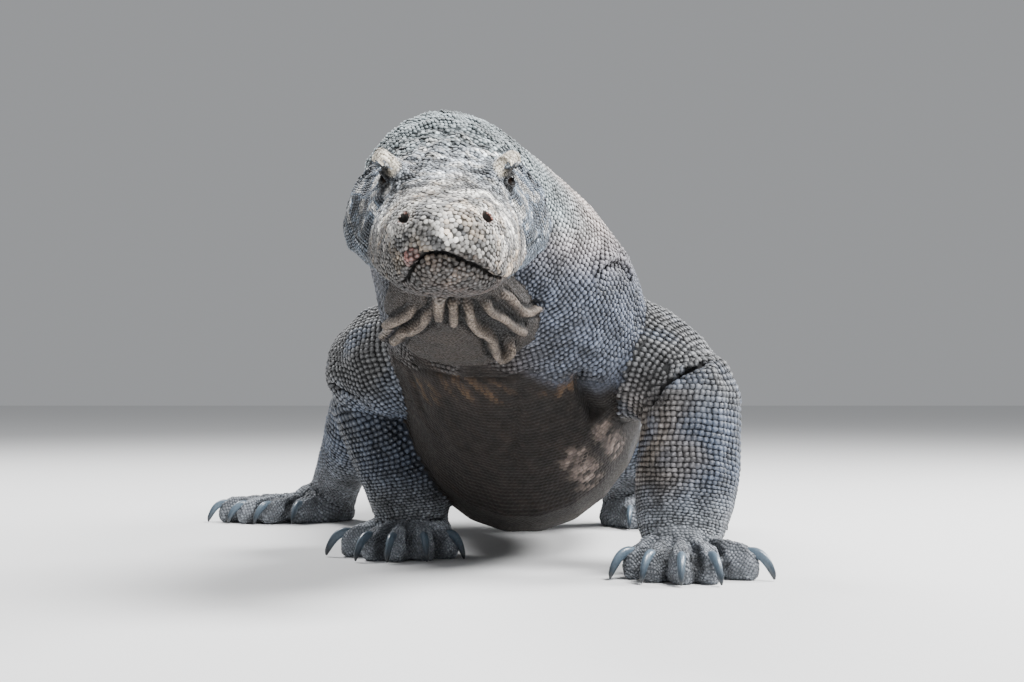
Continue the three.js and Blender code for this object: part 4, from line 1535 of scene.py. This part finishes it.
def growth_tree():
    """Geometry Nodes that set a copy of one scale on every point and make plain mesh of them."""
    group = bpy.data.node_groups.new("scale_growth", "GeometryNodeTree")
    face = group.interface
    face.new_socket("Geometry", in_out="INPUT", socket_type="NodeSocketGeometry")
    face.new_socket("Scale", in_out="INPUT", socket_type="NodeSocketObject")
    face.new_socket("Thickness", in_out="INPUT", socket_type="NodeSocketFloat")
    face.new_socket("Material", in_out="INPUT", socket_type="NodeSocketMaterial")
    face.new_socket("Geometry", in_out="OUTPUT", socket_type="NodeSocketGeometry")
    nodes, links = group.nodes, group.links

    def node(kind, **settings):
        made = nodes.new(kind)
        for name, value in settings.items():
            setattr(made, name, value)
        return made

    def named(name, kind):
        made = node("GeometryNodeInputNamedAttribute", data_type=kind)
        made.inputs["Name"].default_value = name
        return made.outputs["Attribute"]

    given = node("NodeGroupInput")
    result = node("NodeGroupOutput")
    shape = node("GeometryNodeObjectInfo", transform_space="ORIGINAL")
    links.new(given.outputs["Scale"], shape.inputs["Object"])
    turn = node("FunctionNodeAxesToRotation", primary_axis="Z", secondary_axis="Y")
    links.new(named("outward", "FLOAT_VECTOR"), turn.inputs["Primary Axis"])
    links.new(named("backward", "FLOAT_VECTOR"), turn.inputs["Secondary Axis"])
    thick = node("ShaderNodeCombineXYZ")
    thick.inputs["X"].default_value = 1
    thick.inputs["Y"].default_value = 1
    links.new(given.outputs["Thickness"], thick.inputs["Z"])
    size = node("ShaderNodeVectorMath", operation="MULTIPLY")
    links.new(named("size", "FLOAT_VECTOR"), size.inputs[0])
    links.new(thick.outputs[0], size.inputs[1])
    plant = node("GeometryNodeInstanceOnPoints")
    links.new(given.outputs["Geometry"], plant.inputs["Points"])
    links.new(shape.outputs["Geometry"], plant.inputs["Instance"])
    links.new(turn.outputs["Rotation"], plant.inputs["Rotation"])
    links.new(size.outputs[0], plant.inputs["Scale"])
    real = node("GeometryNodeRealizeInstances")
    links.new(plant.outputs["Instances"], real.inputs["Geometry"])
    patch = node("ShaderNodeVectorMath", operation="ADD")
    links.new(named("root", "FLOAT_VECTOR"), patch.inputs[0])
    links.new(named("spot", "FLOAT_VECTOR"), patch.inputs[1])
    store = node("GeometryNodeStoreNamedAttribute", data_type="FLOAT2", domain="CORNER")
    store.inputs["Name"].default_value = "OFBake"
    links.new(real.outputs["Geometry"], store.inputs["Geometry"])
    links.new(patch.outputs[0], store.inputs["Value"])
    paint = node("GeometryNodeSetMaterial")
    links.new(store.outputs["Geometry"], paint.inputs["Geometry"])
    links.new(given.outputs["Material"], paint.inputs["Material"])
    links.new(paint.outputs["Geometry"], result.inputs["Geometry"])
    return group


def unwrap(place, normal, run, turn):
    """Each root's place on an unwrap of the hide: rolled out round its middle line where it has one, and
    otherwise laid out from its six sides."""
    if run is not None:
        flat = np.column_stack([run, turn])
        return (flat - flat.min(0)) / (np.ptp(flat, axis=0) + 1e-9) * 0.98 + 0.01
    axis = np.abs(normal).argmax(1)
    hand = normal[np.arange(len(normal)), axis] > 0
    island = axis * 2 + hand
    span = np.ptp(place, axis=0).max()
    local = (place - place.min(0)) / span
    pick = np.array([(1, 2), (0, 2), (0, 1)])[axis]
    u = np.take_along_axis(local, pick[:, :1], 1)[:, 0]
    v = np.take_along_axis(local, pick[:, 1:], 1)[:, 0]
    return np.column_stack([(island % 3 + 0.04 + 0.92 * u) / 3, (island // 3 + 0.04 + 0.92 * v) / 2])


def grow(name, shape, sites, root, growth, material):
    """One piece of coat: a scale of the given shape on each site."""
    points = bpy.data.meshes.new(name + "_points")
    points.vertices.add(len(sites["place"]))
    set_places(points, sites["place"])
    set_attribute(points, "outward", "FLOAT_VECTOR", sites["normal"])
    set_attribute(points, "backward", "FLOAT_VECTOR", sites["back"])
    set_attribute(points, "size", "FLOAT_VECTOR", sites["size"])
    set_attribute(points, "root", "FLOAT_VECTOR", np.column_stack([root, np.zeros(len(root))]))
    set_attribute(points, "tint", "FLOAT_COLOR", sites["tint"])
    thing = add_object(name, points)
    modifier = thing.modifiers.new("growth", "NODES")
    modifier.node_group = growth
    values = {"Scale": shape, "Thickness": 1.0, "Material": material}
    for item in growth.interface.items_tree:
        if item.in_out == "INPUT" and item.name in values:
            modifier[item.identifier] = values[item.name]
    mesh = finished_mesh(thing, name)
    stand(mesh)
    for spare in ("outward", "backward", "size", "root", "spot"):
        if spare in mesh.attributes:
            mesh.attributes.remove(mesh.attributes[spare])
    ride(add_object(name, mesh))


def sites_of(form):
    """All scale sites of the body."""
    groups = []
    for leg in LEGS:
        upper, lower = (f"leg_{leg}_{part}" for part in ("upper", "lower"))
        foot = form.names == f"foot_{leg}"
        lay_rings(form, foot, np.array(LIMBS[leg][1][-1]) + (0, 0, 30))
        groups.append(rows_over(form, foot, FOOT_ROWS[leg.split("_")[0]]))
        lay_course(form, [lower], LIMBS[leg][1])
        lay_course(form, [upper], LIMBS[leg][0])
        groups.append(rows_over(form, form.names == lower, LOWER_ROWS))
        groups.append(rows_over(form, form.names == upper, UPPER_ROWS[leg]))
    lay_course(form, SPINE_NODES, SPINE)
    long_part = np.isin(form.names, SPINE_NODES)
    groups.append(rows_over(form, long_part & ~form.under, SPINE_ROWS))
    groups.append(rows_over(form, long_part & form.under, UNDER_ROWS))
    head = to_head(form.co)
    for hand in (1, -1):
        cheek = (form.zone == "head") & (head[:, 0] * hand > 48) & (head[:, 1] > 92) & (head[:, 1] < 175)
        cheek &= (head[:, 2] < 52)
        middle = station(from_head([sided(EYE["at"], 0.9 * hand)]))[0]
        lay_rings(form, cheek, middle)
        groups.append(rows_over(form, cheek, CHEEK_ROWS))
    rows = thinned(groups)
    return np.vstack([rows, fill(form, rows, pitch_of(form))])


def clear_of_openings(place):
    """Whether each place is off the eyeballs, the nostrils and the gap of the mouth."""
    clear = np.ones(len(place), bool)
    for hand in (1, -1):
        clear &= np.linalg.norm(place - eye_centre(hand), axis=1) > (EYE["radius"] + 1.0) * MM
    for hole, inward in nostrils_of(work):
        away = (place - hole) / MM
        off_axis = np.linalg.norm(np.cross(away, inward), axis=1)
        clear &= (off_axis > 1.02 * NOSTRIL["radius"]) | (np.linalg.norm(away, axis=1) > 18)
    return clear & ~near_any(place, work.snapped(from_head(MOUTH)), 1.8)


def marks_at(places):
    """The sculpture's marks at the points of the body nearest to the given places."""
    corners = form.corners_at(places)
    return {name: values[corners].mean(1) for name, values in work.marks.items()}


# How much one scale differs from the next.
VARY = {"height": 0.12, "size": 0.07, "twist": 0.12, "tilt": 0.07, "chest_tilt": 0.012}
SPECKLE = {"head": 0.42, "foot": 0.25, "body": 0.22, "chest": 0.05}
# How much wider and longer than its place a scale is, so that neighbours touch.
OVERLAP = {"leg": (1.1, 1.07), "body": (1.08, 1.08), "head": (1.14, 1.14)}
# How far behind the snout the face's scales and the chest's end.
FACE_END = 66
CHEST_END = 760

KINDS = {"face": "pebble", "head": "bead", "throat": "granule", "foot": "granule", "neck": "bead",
         "trunk": "granule", "chest": "granule", "tail": "granule", "upper": "bead", "lower": "plate"}
PIECE_TRIANGLES = 190000
SKIN_TRIANGLES = 188000


def kept_sites():
    """The scale sites that are off the openings and the bare folds, and the sculpture's marks there."""
    sites = sites_of(form)
    sites = sites[clear_of_openings(sites[:, :3])]
    marks = marks_at(sites[:, :3])
    bare = (marks["shaded_cleft"] > 0.6) & (zone_of(owners_of(sites[:, :3])) != "throat")
    return sites[~bare], {name: values[~bare] for name, values in marks.items()}


def piece_names(places, names, zone, chest):
    """Which piece of coat each scale belongs to."""
    piece = zone.astype("U40")
    piece[(zone == "head") & (to_head(places)[:, 1] < FACE_END)] = "face"
    piece[chest] = "chest"
    for leg in LEGS:
        for part in ("upper", "lower"):
            piece[names == f"leg_{leg}_{part}"] = f"leg_{leg}_{part}"
        piece[np.char.startswith(names, f"foot_{leg}")] = f"foot_{leg}"
    return piece


def scale_sizes(sites, zone, relief):
    """How wide, long and high each scale is."""
    height = relief * (1 + VARY["height"] * np.clip(random.normal(size=len(sites)), -2, 2))
    jitter = 1 + VARY["size"] * np.clip(random.normal(size=(len(sites), 2)), -2, 2)
    overlap = np.where(np.isin(zone, ("leg", "foot"))[:, None], OVERLAP["leg"], OVERLAP["body"])
    overlap = np.where((zone == "head")[:, None], OVERLAP["head"], overlap)
    return np.column_stack([sites[:, 10:8:-1] * jitter * overlap, height]) * MM


def scale_turns(sites, zone, normal):
    """Which way each scale's rear points, with some of them the other way round."""
    back = sites[:, 6:9]
    twist = np.cross(normal, unit(back)) * (VARY["twist"] * random.normal(size=(len(sites), 1)))
    either = np.isin(zone, ("leg", "head", "foot"))
    flip = np.where(either & (random.random(len(sites)) < 0.5), -1.0, 1.0)
    return (unit(back) + twist) * flip[:, None]


def scale_tints(sites, marks, zone, names, normal, chest):
    """Each scale's colour, and how deep the gaps round it are, which sets the strength of their painted shade
    and of the painted highlight on its crown.
    """
    tint, depth = tint_of(sites[:, :3], normal, names, marks)
    speckle = np.array([SPECKLE.get(part, SPECKLE["body"]) for part in zone.tolist()])
    speckle = np.where(chest, SPECKLE["chest"], speckle * (0.3 + 0.7 * depth))
    tint = tint * np.exp(speckle * np.clip(random.normal(size=len(sites)), -2, 2))[:, None]
    return np.column_stack([tint, depth])


def coat_of():
    """What the growth needs to know of every scale."""
    sites, marks = kept_sites()
    corner = form.corners_at(sites[:, :3])
    names = form.names[corner[:, 0]]
    zone = form.zone[corner[:, 0]]
    chest = form.under[corner[:, 0]] & (station(form.co[corner[:, 0]])[:, 1] < CHEST_END)
    normal = unit(form.normal[corner].mean(1))
    relief = form.relief[corner].mean(1)
    lost = np.linalg.norm(sites[:, 6:9], axis=1) < 1e-6
    sites[lost, 6:9] = random.normal(size=(lost.sum(), 3))
    size = scale_sizes(sites, zone, relief)
    back = scale_turns(sites, zone, normal)
    tilt = np.where(chest, VARY["chest_tilt"], VARY["tilt"])[:, None]
    tilted = unit(normal + tilt * random.normal(size=normal.shape))
    return {
        "piece": piece_names(sites[:, :3], names, zone, chest),
        "zone": zone,
        "place": sites[:, :3] - normal * (relief * MM)[:, None],
        "upright": normal,
        "normal": tilted,
        "back": back,
        "size": size,
        "tint": scale_tints(sites, marks, zone, names, normal, chest),
        "run": form.run[corner].mean(1),
        "turn": form.turn[corner[:, 0]],
    }


def grow_coat(coat):
    shapes = {kind: scale_shape(kind) for kind in SHAPES}
    growth = growth_tree()
    for name in sorted(set(coat["piece"].tolist())):
        index = np.flatnonzero(coat["piece"] == name)
        zone = coat["zone"][index[0]]
        kind = KINDS[name if name in KINDS else name.split("_")[-1] if zone == "leg" else zone]
        triangles = sum(len(p.vertices) - 2 for p in shapes[kind].data.polygons)
        pieces = math.ceil(len(index) * triangles / PIECE_TRIANGLES)
        order = index[np.argsort(coat["place"][index, 1], kind="stable")]
        for number, some in enumerate(np.array_split(order, pieces)):
            sites = {field: values[some] for field, values in coat.items()}
            run = None if zone in ("head", "throat", "foot") else sites["run"]
            root = unwrap(sites["place"], sites["upright"], run, sites["turn"])
            label = f"scales_{name}" + (f"_{number + 1}" if pieces > 1 else "")
            grow(label, shapes[kind], sites, root, growth, HIDE if name == "chest" else SCALES)
    for thing in shapes.values():
        bpy.data.objects.remove(thing)


def make_skin(mesh):
    """The hide under the scales: the sculpted body, in by the scales' height, in one piece."""
    set_places(mesh, form.co - form.normal * (form.relief * MM)[:, None])
    rough = add_object("skin_form", mesh)
    fewer = rough.modifiers.new("fewer", "DECIMATE")
    fewer.ratio = SKIN_TRIANGLES / len(form.triangles)
    mesh = finished_mesh(rough, "skin")
    stand(mesh)
    co = places_of(mesh)
    tint, depth = tint_of(co, normals_of(mesh), owners_of(co), marks_at(co))
    # Painted shade in the gaps between the scales: the hide is darkened, most where the gaps are deep.
    dark = 0.85 - 0.63 * depth
    set_attribute(mesh, "tint", "FLOAT_COLOR", np.column_stack([tint * dark[:, None], depth]))
    mesh.materials.clear()
    mesh.materials.append(HIDE)
    skin = add_object("skin", mesh)
    smooth(mesh)
    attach(skin, "root")
    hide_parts(*[n for n in BODY_NODES if n not in ("eye_left", "eye_right")])


form = Form(skin_mesh)
grow_coat(coat_of())
make_skin(skin_mesh)

# ---------------------------------------------------------------------------------------------------------------
# Stage
# ---------------------------------------------------------------------------------------------------------------
camera_data = bpy.data.cameras.new("camera")
camera_data.lens = CAMERA["lens"]
camera_data.sensor_width = CAMERA["sensor"]
camera_data.shift_y = CAMERA["rise"]
camera = add_object("camera", camera_data)
camera.location = spots(CAMERA["at"])
camera.rotation_euler = (math.pi / 2, 0, 0)
bpy.context.scene.camera = camera

floor_mesh = bpy.data.meshes.new("floor")
floor_mesh.from_pydata([(-8, -8, 0), (8, -8, 0), (8, 12, 0), (-8, 12, 0)], [], [(0, 1, 2, 3)])
floor = add_object("floor", floor_mesh)


# Each lamp's place, what it points at, its width in metres and its power in watts.
LIGHTS = {
    "top": ((1.6, -1.7, 3.0), (0, -0.9, 0.2), 1.5, 250),
    "far_side": ((2.6, 0.2, 1.8), (0, -0.9, 0.2), 1.2, 150),
    "back": ((-1.4, 1.0, 2.6), (0, -0.7, 0.3), 1.4, 120),
}
SKY = {"colour": (0.9, 0.92, 0.95, 1), "strength": 0.38}


def area_light(name, place, aim, size, power):
    data = bpy.data.lights.new(name, "AREA")
    data.shape = "DISK"
    data.size = size
    data.energy = power
    light = add_object(name, data)
    light.location = place
    light.rotation_euler = (Vector(place) - Vector(aim)).to_track_quat("Z", "Y").to_euler()


for name, light in LIGHTS.items():
    area_light(name, *light)
world = bpy.data.worlds.new("world")
bpy.context.scene.world = world
world.use_nodes = True
sky = world.node_tree.nodes["Background"]
sky.inputs["Color"].default_value = SKY["colour"]
sky.inputs["Strength"].default_value = SKY["strength"]
